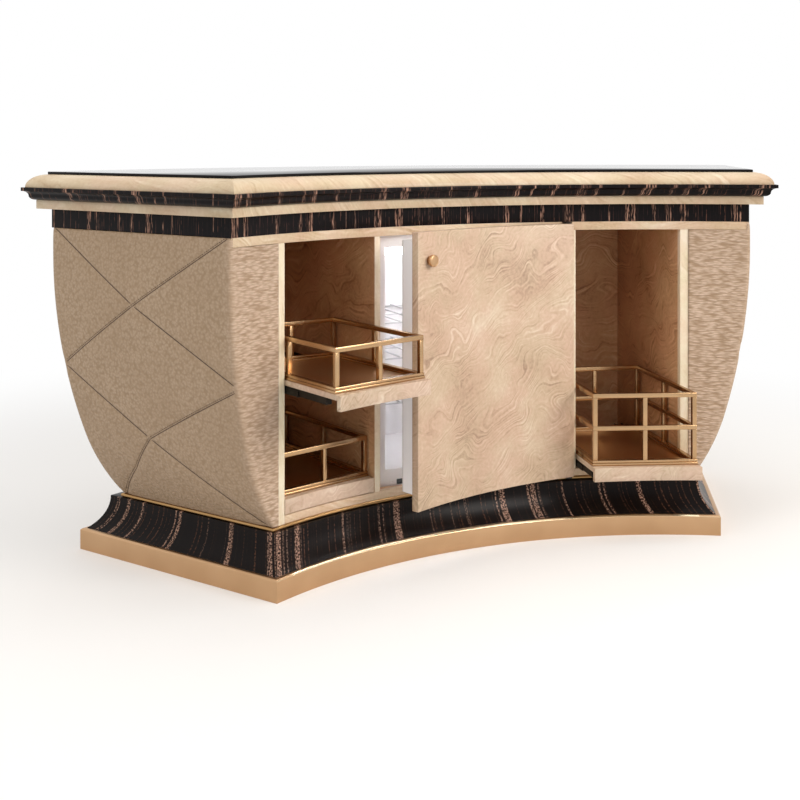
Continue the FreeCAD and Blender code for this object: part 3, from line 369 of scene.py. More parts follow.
# Painted shade: the panels and the customers' side are coloured darker than the strips, though it is one leather.
loose = add(tree, "ValToRGB", {"Fac": cloud}, [(0.3, "#B0967B"), (0.7, "#BAA187")])
# Painted light: the strips, which face the barman's side, are coloured paler.
pulled = add(tree, "ValToRGB", {"Fac": cloud}, [(0.3, "#CAB09A"), (0.7, "#D5BCA7")])
pebble = add(tree, "Mix", {0: drawn, 6: loose, 7: pulled}, data_type="RGBA")
# Painted shade: the valleys between the pebbles are coloured darker, most of all on the strips.
valley = add(tree, "Mix", {0: drawn, 6: shade("#A08669"), 7: shade("#A2876C")}, data_type="RGBA")
colour = add(tree, "Mix", {0: grain, 6: valley.outputs[2], 7: pebble.outputs[2]}, data_type="RGBA")
depth = add(tree, "Math", {0: drawn, 1: 0.1, 2: 0.8}, operation="MULTIPLY_ADD")  # deeper where the hide is pulled
relief = add(tree, "Bump", {"Height": grain, "Strength": depth, "Distance": 1.4 * MM})
feed(shader, {"Base Color": colour.outputs[2], "Normal": relief})

thread_and_painted_seam_shade, tree, shader = finish_of("waxed_thread_and_painted_seam_shade", {"Roughness": 0.6})
place = add(tree, "TexCoord").outputs["Object"]
twist = add(tree, "TexNoise", {"Vector": place, "Scale": 1000 / TWIST_MM, "Detail": 2})
colour = add(tree, "ValToRGB", {"Fac": twist}, [(0.35, "#443225"), (0.65, "#5F4A37")])
feed(shader, {"Base Color": colour})
print("pebbles", PEBBLE_MM, "mm across")

# %% [markdown]
# The rest of the finishes are plainer: black-backed glass on the top, bronze-tinted mirror on the tray floors, white
# moulded plastic in the fridge, zinc-plated runners and soft rubber. Each still has a little unevenness, in clouds of
# the size that its making leaves, because a perfectly even surface looks computed.

# %% Glass, mirror, plastic, steel and rubber
def uneven(name, low, high, cloud_mm, rough, sockets):
    """Plain finish whose tone and gloss drift a little over the surface."""
    made, tree, shader = finish_of(name, sockets)
    place = add(tree, "TexCoord").outputs["Object"]
    cloud = add(tree, "TexNoise", {"Vector": place, "Scale": 1000 / cloud_mm, "Detail": 3})
    tone = add(tree, "ValToRGB", {"Fac": cloud}, [(0.3, low), (0.7, high)])
    gloss = add(tree, "MapRange", {"Value": cloud, "To Min": rough[0], "To Max": rough[1]})
    feed(shader, {"Base Color": tone, "Roughness": gloss})
    return made


METAL, PLASTIC = {"Metallic": 1.0}, {"IOR": 1.49}
# Sharp and nearly black. Its gloss is weak, because at this low angle it would turn as white as the ground behind it.
dark_glass = uneven("black_backed_glass", "#0E0C0D", "#141112", 500, (0.05, 0.09),
                    {"IOR": 1.52, "Specular IOR Level": 0.1})
# Brown reflections, blurred by a silk finish.
bronze_mirror = uneven("bronze_mirror", "#CFA67A", "#D6AF85", 200, (0.26, 0.32), METAL)
# Bright and smooth, with soft highlights, and for the door's inner panel a greyer kind whose rim glows with painted
# light.
white_plastic = uneven("white_moulded_plastic", "#ECE9EB", "#F2F0F1", 166.7, (0.28, 0.36), PLASTIC)
white_plastic_painted_rim_light = uneven("white_plastic_with_painted_rim_light", "#DEDCDD", "#E4E2E3", 166.7, (0.28, 0.36),
                       PLASTIC | {"Emission Color": shade("#FFFCFD")})
# Painted light: the panel's faces towards the knob's side glow, standing in for the fridge lamp's light on its thin
# rim.
tree = white_plastic_painted_rim_light.node_tree
facing = add(tree, "SeparateXYZ", {0: add(tree, "TexCoord").outputs["Normal"]}).outputs["X"]
painted_rim_light = add(tree, "MapRange", {"Value": facing, "From Min": -0.9, "From Max": -0.5, "To Min": 0.17, "To Max": 0.0})
feed(tree.nodes["Principled BSDF"], {"Emission Strength": painted_rim_light})
# Dark metal with a dull shine.
black_steel = uneven("black_zinc_plated_steel", "#2E2B28", "#3A3733", 25, (0.4, 0.5), METAL)
# Matt, with hardly a highlight.
rubber = uneven("grey_rubber", "#55534F", "#605E5A", 16.67, (0.75, 0.85), {})
seal_rubber = uneven("pale_seal_rubber", "#D6D2D0", "#DEDBD9", 16.67, (0.6, 0.7), {})
# Dark and dull, as it comes from the mould.
black_plastic = uneven("black_plastic", "#121212", "#1B1B1B", 20, (0.45, 0.55), {})
# Lit from within, so its ribs are white all over.
lamp_cover = uneven("lit_lamp_cover", WHITE, "#FCFDFF", 166.7, (0.3, 0.4),
                    {"Emission Color": shade(WHITE), "Emission Strength": 11.0})
# Thick dipped plastic on wire, a little greyer than the moulded walls.
wire_coat = uneven("white_coated_wire", "#C8C7CA", "#D2D1D3", 33.33, (0.3, 0.4), PLASTIC)
# Dark and glossy, with nothing lit behind it.
display_glass = uneven("smoked_display", "#16181C", "#20242A", 16.67, (0.08, 0.12), {"IOR": 1.5})
print("finishes:", len(bpy.data.materials))

# %% [markdown]
# Every moulding of the base and the cornice is one section carried round the same plan: an arc on the barman's side,
# two straight ends, and a larger arc on the customers' side, joined by mitres. So one function draws the plan for any
# distance out from it, and another carries a section round. Each length is closed at its mitres and has its own part
# of the veneer, as four cut lengths do.

# %% Plan of the counter
ARC_CENTRE = 1740  # from the axis of the arcs to the origin; from here on all sizes are in millimetres
HALF_ANGLE = radians(31)
ALONG = Vector((-sin(HALF_ANGLE), cos(HALF_ANGLE)))
OUTWARD = Vector((-cos(HALF_ANGLE), -sin(HALF_ANGLE)))
FACE = 1432  # radius of the body's face on the barman's side
RUNS = (("barman", 72), ("right", 6), ("customer", 96), ("left", 6))  # the four lengths and their steps


def put(x, y, z):
    """Place in metres in the model's frame, of a point in millimetres counted from the axis of the arcs."""
    return Vector((x * MM, (y - ARC_CENTRE) * MM, z * MM))


def left_corner(radius, reach):
    """Plan point on an arc, at a distance out from the left edge of the ring."""
    return ALONG * sqrt(radius ** 2 - reach ** 2) + OUTWARD * reach


def arc_points(radius, start, end, count):
    """Points on a circle about the axis, between two angles from the counter's middle line."""
    angles = [start + (end - start) * i / count for i in range(count + 1)]
    return [Vector((radius * sin(a), radius * cos(a))) for a in angles]


def line_points(start, end, count):
    return [start.lerp(end, i / count) for i in range(count + 1)]


def plan_length(plan, run, reach, count):
    """Points along one of the four lengths, the outside on the right hand."""
    inner, side, outer, share = plan
    near = left_corner(inner - reach, side + reach)
    far = left_corner(outer + reach * share, side + reach)
    if run == "barman":
        turn = atan2(near.x, near.y)
        return arc_points(inner - reach, turn, -turn, count)
    if run == "customer":
        turn = atan2(far.x, far.y)
        return arc_points(outer + reach * share, -turn, turn, count)
    if run == "right":
        return line_points(Vector((-near.x, near.y)), Vector((-far.x, far.y)), count)
    return line_points(far, near, count)


print("near left corner of the body, mm:", [round(c) for c in left_corner(FACE, 95)])

# %% [markdown]
# A mesh is drawn in code from loops of points, skinned like the hoops of a basket. Sharp corners of a section are
# rounded first, because every sawn edge of the real counter was sanded and catches a thin line of light.

# %% Meshes with eased edges
EASE_SHARE = 0.45  # the most of an edge that a rounding may take
NEARLY_FLAT = radians(25)


def bent(start, corner, end, count):
    """Points of a small curve that takes the place of a corner, with both its ends."""
    shares = [k / count for k in range(count + 1)]
    return [start * (1 - s) ** 2 + corner * 2 * s * (1 - s) + end * s ** 2 for s in shares]


def eased(points, radius, steps=3):
    """Closed outline with its sharp corners rounded."""
    made = []
    count = len(points)
    for i in range(count):
        before, here, after = Vector(points[i - 1]), Vector(points[i]), Vector(points[(i + 1) % count])
        a, b = before - here, after - here
        if pi - a.angle(b) < NEARLY_FLAT:
            made.append(here)
            continue
        cut_a, cut_b = min(radius, a.length * EASE_SHARE), min(radius, b.length * EASE_SHARE)
        made += bent(here + a.normalized() * cut_a, here, here + b.normalized() * cut_b, steps)
    return made


def rings(drawing, loops):
    """Skin over a row of closed loops of vertices, with a face at each end; gives back the faces of the skin."""
    skin_faces = []
    for first, second in zip(loops, loops[1:]):
        count = len(first)
        for j in range(count):
            corners = (first[j], first[(j + 1) % count], second[(j + 1) % count], second[j])
            skin_faces.append(drawing.faces.new(corners))
    drawing.faces.new(list(reversed(loops[0])))
    drawing.faces.new(loops[-1])
    return skin_faces


def piece_from(name, build, material, smooth=35):
    """Object made of what a function draws into an empty mesh."""
    drawing = bmesh.new()
    build(drawing)
    bmesh.ops.recalc_face_normals(drawing, faces=drawing.faces)
    mesh = bpy.data.meshes.new(name)
    drawing.to_mesh(mesh)
    drawing.free()
    for face in mesh.polygons:
        face.use_smooth = True
    mesh.set_sharp_from_angle(angle=radians(smooth))
    for finish in material if isinstance(material, list) else [material]:
        mesh.materials.append(finish)
    return show(name, mesh)


def stand_in(node, build, material, body, smooth=35):
    """Piece that stands for a CAD node, whose mesh it hides, and moves with its body."""
    piece = piece_from(node, build, material, smooth)
    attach(piece, body)
    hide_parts(node)
    return piece


def lip_faces(piece, chosen):
    """Second material on the faces whose normals are chosen: a glued edging, as on the door, or a painted highlight and
    painted light, as on the skirt's arris and the partitions' front edges.
    """
    for face in piece.data.polygons:
        if chosen(face.normal):
            face.material_index = 1


print("a square of 20 mm, eased:", len(eased([(0, 0), (20, 0), (20, 20), (0, 20)], 1)), "points")

# %% [markdown]
# The base is three mouldings. The skirt is a brass bar whose upper arris is cut off at a slant; on the barman's and the
# customers' sides the slant is coloured pale, a painted highlight that shows as a bright line. The plinth above it is a
# cove, hollow like a quarter of a pipe, and a half-round brass bead closes it under the leather. A curve with a bevel
# would round off the mitres, so each section is skinned from mitre to mitre. Sections are drawn as a reach outwards and
# a height.

# %% Base mouldings
VENEER_APART = 5.3  # metres of pattern between two lengths
SKIRT_TOP, COVE_TOP, BODY_LOW = 60, 153, 164
BASE = (1356, 0, 2111, 1)  # inner radius, reach at the ends, outer radius, share of the reach on the customers' side
FOOT = (FACE, -71, 2007, 1)
COVE_RADIUS, COVE_STEPS = 114, 12
BEAD_RADIUS = 5.5


def travelled(points):
    """Distance in metres along a row of points, from nought at the first."""
    made = [0.0]
    for first, second in zip(points, points[1:]):
        made.append(made[-1] + (second - first).length * MM)
    return made


def moulding(name, plan, section, material, ease):
    """Four mitred lengths of one section, with the distance along each and round it in the UV map, in metres."""
    outline = eased(section, ease)
    size = len(outline)
    girth = travelled(outline + outline[:1])

    def build(drawing):
        uv = drawing.loops.layers.uv.new("UVMap")
        for turn, (run, count) in enumerate(RUNS):
            lines = [plan_length(plan, run, point.x, count) for point in outline]
            loops = [[drawing.verts.new(put(*line[i], point.y)) for line, point in zip(lines, outline)]
                     for i in range(count + 1)]
            travel = travelled(plan_length(plan, run, 0, count))
            for number, face in enumerate(rings(drawing, loops)):
                i, j = divmod(number, size)
                for loop, (s, g) in zip(face.loops, ((i, j), (i, j + 1), (i + 1, j + 1), (i + 1, j))):
                    loop[uv].uv = (travel[s] + turn * VENEER_APART, girth[g])

    return stand_in(name, build, material, "carcass")


def ellipse(centre, half, angles):
    """Part of an ellipse in a section, by angles in degrees."""
    turns = [radians(a) for a in angles]
    return [Vector((centre[0] + half[0] * cos(t), centre[1] + half[1] * sin(t))) for t in turns]


skirt = [(0, 0), (0, SKIRT_TOP - 4), (-5, SKIRT_TOP), (-30, SKIRT_TOP), (-30, 0)]
skirt_piece = moulding("brass_skirt", BASE, skirt, [satin_brass, painted_highlight_brass], 0.8)
# Painted highlight: only the slants facing the barman's and the customers' sides take the pale brass.
lip_faces(skirt_piece, lambda normal: 0.4 < normal.z < 0.95 and abs(normal.y) > 0.55)
cove_turn = degrees(asin((COVE_TOP - SKIRT_TOP) / COVE_RADIUS))
cove_angles = [cove_turn * k / COVE_STEPS for k in range(COVE_STEPS, -1, -1)]
cove = ellipse((53, COVE_TOP), (-COVE_RADIUS, -COVE_RADIUS), cove_angles)
moulding("plinth_cove", BASE, cove + [(-117, COVE_TOP), (-117, SKIRT_TOP)], flecked_ebony, 0.8)
round_edge = ellipse((0, COVE_TOP + BEAD_RADIUS), (BEAD_RADIUS, BEAD_RADIUS), range(-90, 91, 15))
moulding("brass_bead", FOOT, round_edge + [(-56, BODY_LOW), (-56, COVE_TOP)], bead_brass, 0.3)
print("base mouldings: skirt, cove and bead up to", BODY_LOW, "mm")

# %% [markdown]
# The cornice steps out over the body: an ebony frieze, a pale square fillet, an ebony ogee that swells and then
# hollows up to a thin lip, and a pale bullnose like a quarter of an ellipse. The customers' side steps out less. All
# four share one plan, so only their sections are drawn here.

# %% Cornice mouldings
BODY_TOP, FRIEZE_TOP, FILLET_TOP, OGEE_TOP, NOSE_TOP = 940, 995, 1020, 1056, 1092
CORNICE = (FACE, 93, 2125, 0.65)
CORNICE_BACK = -40
FILLET_REACH, OGEE_REACH = 37, 74
OGEE_HALF = ((OGEE_REACH - FILLET_REACH) / 2, 13)


def square_back(low, high):
    return [(CORNICE_BACK, high), (CORNICE_BACK, low)]


frieze = [(0, BODY_TOP), (0, FRIEZE_TOP)] + square_back(BODY_TOP, FRIEZE_TOP)
moulding("frieze", CORNICE, frieze, lined_ebony, 0.8)
fillet = [(FILLET_REACH, FRIEZE_TOP), (FILLET_REACH, FILLET_TOP)] + square_back(FRIEZE_TOP, FILLET_TOP)
moulding("fillet", CORNICE, fillet, trim_veneer, 1.2)
ogee_middle = FILLET_TOP + OGEE_HALF[1]
swell = ellipse((FILLET_REACH, ogee_middle), OGEE_HALF, range(-90, 0, 15))
hollow = ellipse((OGEE_REACH, ogee_middle), (-OGEE_HALF[0], OGEE_HALF[1]), range(0, 91, 15))
ogee = swell + hollow + [(OGEE_REACH, OGEE_TOP)] + square_back(FILLET_TOP, OGEE_TOP)
moulding("ogee", CORNICE, ogee, lined_ebony, 0.8)
nose = ellipse((10, OGEE_TOP), (54, NOSE_TOP - OGEE_TOP), range(0, 91, 10))
moulding("bullnose", CORNICE, nose + [(0, NOSE_TOP), (0, OGEE_TOP)], trim_veneer, 1.0)
print("cornice mouldings: frieze, fillet, ogee and bullnose up to", NOSE_TOP, "mm")

# %% [markdown]
# Boards, rails, stiles, trays and the door are all flat outlines given a height, some straight and some bent round
# the axis of the arc. One function raises an outline to a solid with every edge softly rounded, because a real board
# is sanded: the thin highlight on its edges is what makes it look like wood and not like paper. A bevel modifier could
# round the edges too, but it stumbles over the many short edges of a bent board.

# %% Raised outlines
def inset(outline, depth):
    """Outline moved inwards all round, for one that runs anticlockwise."""
    made = []
    count = len(outline)
    for i in range(count):
        before, here, after = outline[i - 1], outline[i], outline[(i + 1) % count]
        a, b = (here - before).normalized(), (after - here).normalized()
        middle = Vector((-a.y, a.x)) + Vector((-b.y, b.x))
        middle *= 2 / max(middle.length_squared, 0.2)  # held back at a very sharp corner
        made.append(here + middle * depth)
    return made


def raised(drawing, outline, low, high, ease, corner=None):
    """Solid on an outline, with its edges rounded by one radius above and below and by another at the corners."""
    outline = [Vector(p) for p in outline]
    area = sum(p.x * q.y - q.x * p.y for p, q in zip(outline, outline[1:] + outline[:1]))
    outline = outline if area > 0 else outline[::-1]
    corner = ease if corner is None else corner
    part = 0.3 * ease  # a rounded edge is drawn in two steps
    levels = [(low, ease), (low + part, part), (low + ease, 0), (high - ease, 0), (high - part, part), (high, ease)]
    loops = []
    for height, depth in levels:
        line = eased(inset(outline, depth), max(corner - 0.6 * depth, 0.15), 2)
        loops.append([drawing.verts.new(put(*point, height)) for point in line])
    rings(drawing, loops)


def board(node, outline, low, high, ease, material, body="carcass"):
    """Piece raised on one outline."""
    return stand_in(node, lambda drawing: raised(drawing, outline, low, high, ease), material, body)


BAY_TURN = radians(13.02)
BAY_NEAR, BAY_FAR = 10, 332.5


def turned(x, y, angle):
    return Vector((x * cos(angle) - y * sin(angle), x * sin(angle) + y * cos(angle)))


def in_bay(side, x, y, out=0):
    """Plan point of a side bay: x from the middle of its partition, y away from the barman."""
    return turned(side * x, y - out, -side * BAY_TURN)


def bay_front(side, near, far, radius, out=0, count=10):
    """Front edge of a piece that follows the arc across a bay."""
    spans = [near + (far - near) * i / count for i in range(count + 1)]
    return [in_bay(side, x, sqrt(radius ** 2 - x ** 2), out) for x in spans]


print("middle of the left bay, mm:", [round(c) for c in in_bay(-1, 170, 1500)])

# %% [markdown]
# The barman's face is a frame of pale boards: a stile at each outer edge, a rail above and one below, and between them
# the front edges of the partitions. The walls and partitions run back from there, and the glass lies over it all.

# %% Carcass boards and glass
BOARD = 20
STILE_EDGE, BAY_BACK = 356.5, 1952
FLOOR, CEILING = 186, 915
RAIL_REACH, RAIL_STEPS = 90.7, 80
GLASS_TOP, GLASS_REACH = 1100, 10
for side, name in ((-1, "left"), (1, "right")):
    stile = bay_front(side, BAY_FAR, STILE_EDGE, FACE) + bay_front(side, STILE_EDGE, BAY_FAR, FACE + BOARD)
    board(f"{name}_stile", stile, BODY_LOW, CEILING, 1.0, stile_veneer)
    rear = [in_bay(side, BAY_NEAR, BAY_BACK), in_bay(side, -BAY_NEAR, BAY_BACK)]
    partition = board(f"{name}_partition", bay_front(side, -BAY_NEAR, BAY_NEAR, FACE, count=2) + rear, FLOOR, CEILING,
                      0.8, [bay_veneer_painted_shade, stile_veneer])
    # Painted light: the partitions' front edges take the paler stile veneer, standing in for the fridge's light that
    # falls on them.
    lip_faces(partition, lambda normal: normal.y < -0.7)
    rear = [in_bay(side, BAY_FAR + BOARD, BAY_BACK), in_bay(side, BAY_FAR, BAY_BACK)]
    wall = bay_front(side, BAY_FAR, BAY_FAR + BOARD, FACE + BOARD, count=2) + rear
    board(f"{name}_wall", wall, FLOOR, CEILING, 0.8, bay_veneer_painted_shade)

RAIL_FACES = (FACE, FACE + BOARD)
rail_ends = [left_corner(radius, RAIL_REACH) for radius in RAIL_FACES]
top_turns = [-atan2(end.x, end.y) for end in rail_ends]
low_turns = [asin(BAY_FAR / radius) + BAY_TURN for radius in RAIL_FACES]
for name, turns, low, high in (("top_rail", top_turns, CEILING, BODY_TOP), ("bottom_rail", low_turns, BODY_LOW, FLOOR)):
    near = arc_points(RAIL_FACES[0], -turns[0], turns[0], RAIL_STEPS)
    far = arc_points(RAIL_FACES[1], turns[1], -turns[1], RAIL_STEPS)
    board(name, near + far, low, high, 1.0, rail_veneer)

rim = []
for run, count in RUNS:
    rim += plan_length(CORNICE, run, GLASS_REACH, count)[:-1]
board("glass_top", rim, NOSE_TOP, GLASS_TOP, 1.4, dark_glass)
print("stiles, partitions, walls, rails and glass drawn")

# %% [markdown]
# Pieces that are out of sight, or plain enough as the CAD model has them, could be drawn again too, but nobody would
# see the difference. They keep their mesh and only take a finish.

# %% Keep the plain CAD pieces
KEPT = ((plywood, "top_board base_board top_deck left_shell right_shell front_shell"),
        (bay_veneer_painted_shade, "bottom_board back_panels"), (rubber, "foot_pads"), (satin_brass, "door_bushes"),
        (white_plastic, "fridge_case fridge_liner control_strip"), (black_plastic, "mains_inlet"),
        (wire_coat, "wire_shelves"), (white_plastic_painted_rim_light, "door_liner"), (seal_rubber, "door_gasket"),
        (black_steel, "hinge_plates runner_fixed_rails"),
        (black_steel, "upper_tray_mid_rails lower_tray_mid_rails right_tray_mid_rails"),
        (black_steel, "upper_tray_top_rails lower_tray_top_rails right_tray_top_rails"))
for finish, names in KEPT:
    for name in names.split():
        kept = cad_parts[name]
        kept.data.materials.clear()
        kept.data.materials.append(finish)
print("kept CAD pieces:", sum(len(names.split()) for finish, names in KEPT))

# %% [markdown]
# The fridge has a strip of controls under its room, with a small smoked display and a square push button, and a lamp
# behind a ribbed cover above. Display and button face the barman's side, so their outlines are drawn upright and
# their depth runs away from that side, while the lamp's cover is made of blocks raised like boards.

# %% Controls and lamp of the fridge
PAD_CORNER = 1.4
PAD_HEIGHT = 197
RIBS, RIB_PITCH = 38, 15


def facing_pad(drawing, middle, half, steps):
    """Solid on a rounded rectangle that faces the barman: steps are depths with how far each is drawn in."""
    loops = []
    for depth, drawn_in in steps:
        wide, tall = half[0] - drawn_in, half[1] - drawn_in
        line = eased([(wide, tall), (-wide, tall), (-wide, -tall), (wide, -tall)], PAD_CORNER, 4)
        places = [Vector((middle + x, depth, PAD_HEIGHT + z)) * MM for x, z in line]
        loops.append([drawing.verts.new(place) for place in places])
    rings(drawing, loops)


def draw_display(drawing):
    facing_pad(drawing, -223, (21.5, 7.5), ((-298, 0), (-301.5, 0), (-302, 0.6), (-302, 1.7), (-301.5, 2.0)))


def draw_button(drawing):
    flange = ((-295.6, -2.2), (-297.6, -2.2))
    key = ((-297.6, 0), (-301.3, 0), (-301.8, 0.3), (-302, 0.9), (-302, 1.8), (-301.6, 2.3))
    facing_pad(drawing, -260, (5.5, 5.5), flange + key)


def draw_lamp(drawing):
    def block(x0, x1, y0, y1, low, high, ease):
        raised(drawing, [(x, y + ARC_CENTRE) for x, y in ((x0, y0), (x1, y0), (x1, y1), (x0, y1))], low, high, ease)

    block(-281, 281, -262, -202, 854, 878, 2.0)
    for k in range(RIBS):
        block(-277 + k * RIB_PITCH, -272 + k * RIB_PITCH, -259, -205, 852, 856, 1.0)


stand_in("display_window", draw_display, display_glass, "carcass")
stand_in("power_button", draw_button, white_plastic, "power_button")
stand_in("fridge_light", draw_lamp, lamp_cover, "carcass")
print("fridge controls drawn, and a lamp with", RIBS, "ribs")

# %% [markdown]
# The body is shaped like a bowl: upright under the cornice, then drawn in by a wide arc and last by a tight one down to
# the foot. The covers are modelled as they are made. One hide wraps each side: it starts at the stile on the barman's
# face, turns the near corner, crosses the side, and ends two fingers' breadth round the far corner, where the hide of
# the customers' side meets it. A grid of points is laid on that path at every height, and each point is then lifted by
# the padding under it, except along the seams, which pull the hide down. A cloth simulation could stretch a sheet over
# the body instead, but a hide that is glued to a board neither swells nor folds.

# %% Bowl section
TALL = BODY_TOP - BODY_LOW
UPRIGHT, TIGHT = 70, 186  # heights of the upright part and of the tight arc
TIGHT_SHARE = 0.548  # of what the face draws in, done by the tight arc


def bowl_face(brim, draw):
    """How far out a face of the body stands at a height: below the brim it draws in along two arcs."""
    turn = draw * TIGHT_SHARE
    drop = draw - turn
    fall = TALL - UPRIGHT - TIGHT
    bow = (drop ** 2 + fall ** 2) / (2 * drop)
    lean = asin(fall / bow)
    curl = (turn ** 2 + TIGHT ** 2) / 2 / (turn * cos(lean) - TIGHT * sin(lean))

    def out_at(height):
        below = BODY_TOP - UPRIGHT - height
        if below <= 0:
            return brim
        if below <= fall:
            return brim - bow + sqrt(bow ** 2 - below ** 2)
        rise = sin(lean) + (below - fall) / curl
        return brim - drop - curl * (cos(lean) - sqrt(1 - rise ** 2))

    return out_at


side_out = bowl_face(95, 166)
front_out = bowl_face(2120, 113)
print("side stands out, mm:", [round(side_out(z)) for z in (BODY_TOP, 700, 350, BODY_LOW)])

# %% Paths of the covers round the body
WRAP, SEAM_GAP = 40, 1.5
CORNER = 12
STRIP, TURN, PANEL, BACK, FRONT = 26, 6, 140, 8, 270  # steps across each part of the covers


def side_path(height):
    """Plan points of the left cover at a height, from the stile to the seam on the customers' side."""
    reach, radius = side_out(height), front_out(height)
    near, far = left_corner(FACE, reach), left_corner(radius, reach)
    start = -BAY_TURN - asin(STILE_EDGE / FACE)
    corner_turn = atan2(near.x, near.y)
    ease = min(CORNER, FACE * (start - corner_turn) * EASE_SHARE)
    strip = arc_points(FACE, start, corner_turn + ease / FACE, STRIP)
    panel = line_points(near + ALONG * ease, far - ALONG * CORNER, PANEL)
    far_turn = atan2(far.x, far.y)
    back = arc_points(radius, far_turn + CORNER / radius, far_turn + WRAP / radius, BACK)
    first = bent(strip[-1], near, panel[0], TURN)[1:-1]
    second = bent(panel[-1], far, back[0], TURN)[1:-1]
    return strip + first + panel + second + back


def front_path(height):
    """Plan points of the customers' cover at a height, from one seam to the other."""
    radius = front_out(height)
    far = left_corner(radius, side_out(height))
    turn = atan2(far.x, far.y) + (WRAP + SEAM_GAP) / radius
    return arc_points(radius, turn, -turn, FRONT)


print("points across:", len(side_path(500)), len(front_path(500)))

# %% [markdown]
# On each panel the seams cross like two letters X, one above the other. One seam of each cross is a plain closed seam,
# a dark line where two edges meet, partly the joint and partly painted shade of its groove. The other is topstitched:
# the line is followed by a row of waxed thread. The lift of the padding falls off near a seam, so the light shows the
# soft edge of every pad.

# %% Seams and padding
PAD_MM, FALL_MM = 2.2, 16.0
GROOVE_MM, GROOVE_WIDE_MM = 1.3, 5.0
HIGH, LOW = (0.535, 0.745), (0.57, 0.265)  # where the seams of a side cross, in shares of its width and height
LINES = (((1, 1), HIGH, (0, 0.51)), ((1, 0.492), LOW, (0.02, 0.01)), ((0, 1), HIGH, (1, 0.51)),
         ((0, 0.488), LOW, (0.75, 0.135), (1, 0)))
EVEN_LINES = (((1, 1), (0.5, 0.75), (0, 0.5)), ((1, 0.5), (0.5, 0.25), (0, 0)), ((0, 1), (0.5, 0.75), (1, 0.5)),
              ((0, 0.5), (0.5, 0.25), (1, 0)))


def seam_gap(x, y, seam, width):
    """Distance in millimetres from a point of the unrolled panel to a seam."""
    gaps = []
    spots = [(px * width, py * TALL) for px, py in seam]
    for (ax, ay), (bx, by) in zip(spots, spots[1:]):
        dx, dy = bx - ax, by - ay
        t = max(0.0, min(1.0, ((x - ax) * dx + (y - ay) * dy) / (dx * dx + dy * dy)))
        gaps.append(hypot(x - ax - dx * t, y - ay - dy * t))
    return min(gaps)


def lift(gap):
    """Height of the hide over the board at a distance from the nearest seam."""
    pad = PAD_MM * (1 - exp(-(gap / FALL_MM) ** 2))
    return pad - GROOVE_MM * exp(-(gap / GROOVE_WIDE_MM) ** 2)


print("hide lifts, mm:", [round(lift(gap), 2) for gap in (0, 10, 40)])

# %% Lay the hides
ROWS, ROW_GAP, HEM_MM = 155, 2.5, 0.3
UNDER_RAIL = CEILING - 0.4  # where the strip beside a bay is cut off
TUCK_MM, TUCK_DEEP_MM = 8, 1.2  # the hide is tucked in along its upper and lower edge
WRINKLE_MM, WRINKLES = 0.5, Vector((30, 30, 95))  # height, and number in a metre along each axis
PULL_PAST, PULL_FADE = 5, 13  # columns past the corner where the pull ends, and over how many it fades
HIDE_MM = 3.4
PANEL_WIDE, FRONT_PANELS, FRONT_WIDE = 650, 3, 780
heights = [BODY_LOW + HEM_MM + (TALL - 2 * HEM_MM) * i / ROWS for i in range(ROWS + 1)]
heights = sorted([z for z in heights if abs(z - CEILING) > ROW_GAP] + [UNDER_RAIL])
front_lines = [tuple((x + k, y) for x, y in seam) for k in range(FRONT_PANELS) for seam in EVEN_LINES]
# Each cover's name, path, first column of its panels, columns in a millimetre, seams, width of a panel, and -1 where
# it is mirrored.
SIDE = (side_path, STRIP + TURN, PANEL / PANEL_WIDE, LINES, PANEL_WIDE)
COVERS = (("left", *SIDE, 1), ("right", *SIDE, -1),
          ("front", front_path, 0, FRONT / (FRONT_PANELS * FRONT_WIDE), front_lines, FRONT_WIDE, 1))


def pull_and_painted_light_at(column, first):
    """How far a hide is pulled, which also sets how much of the strips' painted light it takes: fully on a side's
    strip, less round its corner, and not at all on the front.
    """
    t = max(0.0, min(1.0, (first + PULL_PAST - column) / PULL_FADE)) if first else 0.0
    return t * t * (3 - 2 * t)


def cover(name, path, first, per_mm, seams, width, side):
    """Hide on a grid of points, lifted along its own normals."""
    rows = [[put(*point, z) for point in path(z)] for z in heights]
    count = len(rows[0])

    def build(drawing):
        grid = []
        # This number also sets the strips' painted light and the panels' painted shade in the leather's colour.
        pull = drawing.verts.layers.float.new("drawn")
        for r, row in enumerate(rows):
            line = []
            for c, point in enumerate(row):
                across = row[min(c + 1, count - 1)] - row[max(c - 1, 0)]
                upward = rows[min(r + 1, len(rows) - 1)][c] - rows[max(r - 1, 0)][c]
                normal = across.cross(upward).normalized() * -1
                x, y = (c - first) / per_mm, heights[r] - BODY_LOW
                rise = lift(min(seam_gap(x, y, seam, width) for seam in seams))
                rise += WRINKLE_MM * pull_and_painted_light_at(c, first) * noise.noise(point * WRINKLES)
                edge = min(y, TALL - y, TUCK_MM) / TUCK_MM
                spot = point + normal * ((rise - TUCK_DEEP_MM * (1 - edge) ** 2) * MM)
                line.append(drawing.verts.new((spot.x * side, spot.y, spot.z)))
                line[-1][pull] = pull_and_painted_light_at(c, first)
            grid.append(line)
        for r in range(len(rows) - 1):
            for c in range(count - 1):
                if first and c <= STRIP and heights[r] >= UNDER_RAIL:
                    continue  # the top rail is there
                corners = (grid[r][c], grid[r][c + 1], grid[r + 1][c + 1], grid[r + 1][c])
                drawing.faces.new(corners if side < 0 else corners[::-1])
        loose = [v for v in drawing.verts if not v.link_faces]
        bmesh.ops.delete(drawing, geom=loose, context="VERTS")

    made = stand_in(name, build, leather, "carcass", 60)
    thickness = made.modifiers.new("hide_thickness", "SOLIDIFY")
    thickness.thickness = HIDE_MM * MM
    thickness.offset = -1
    print(name, len(made.data.vertices), "points")


for name, *layout in COVERS:
    cover(f"{name}_leather", *layout)

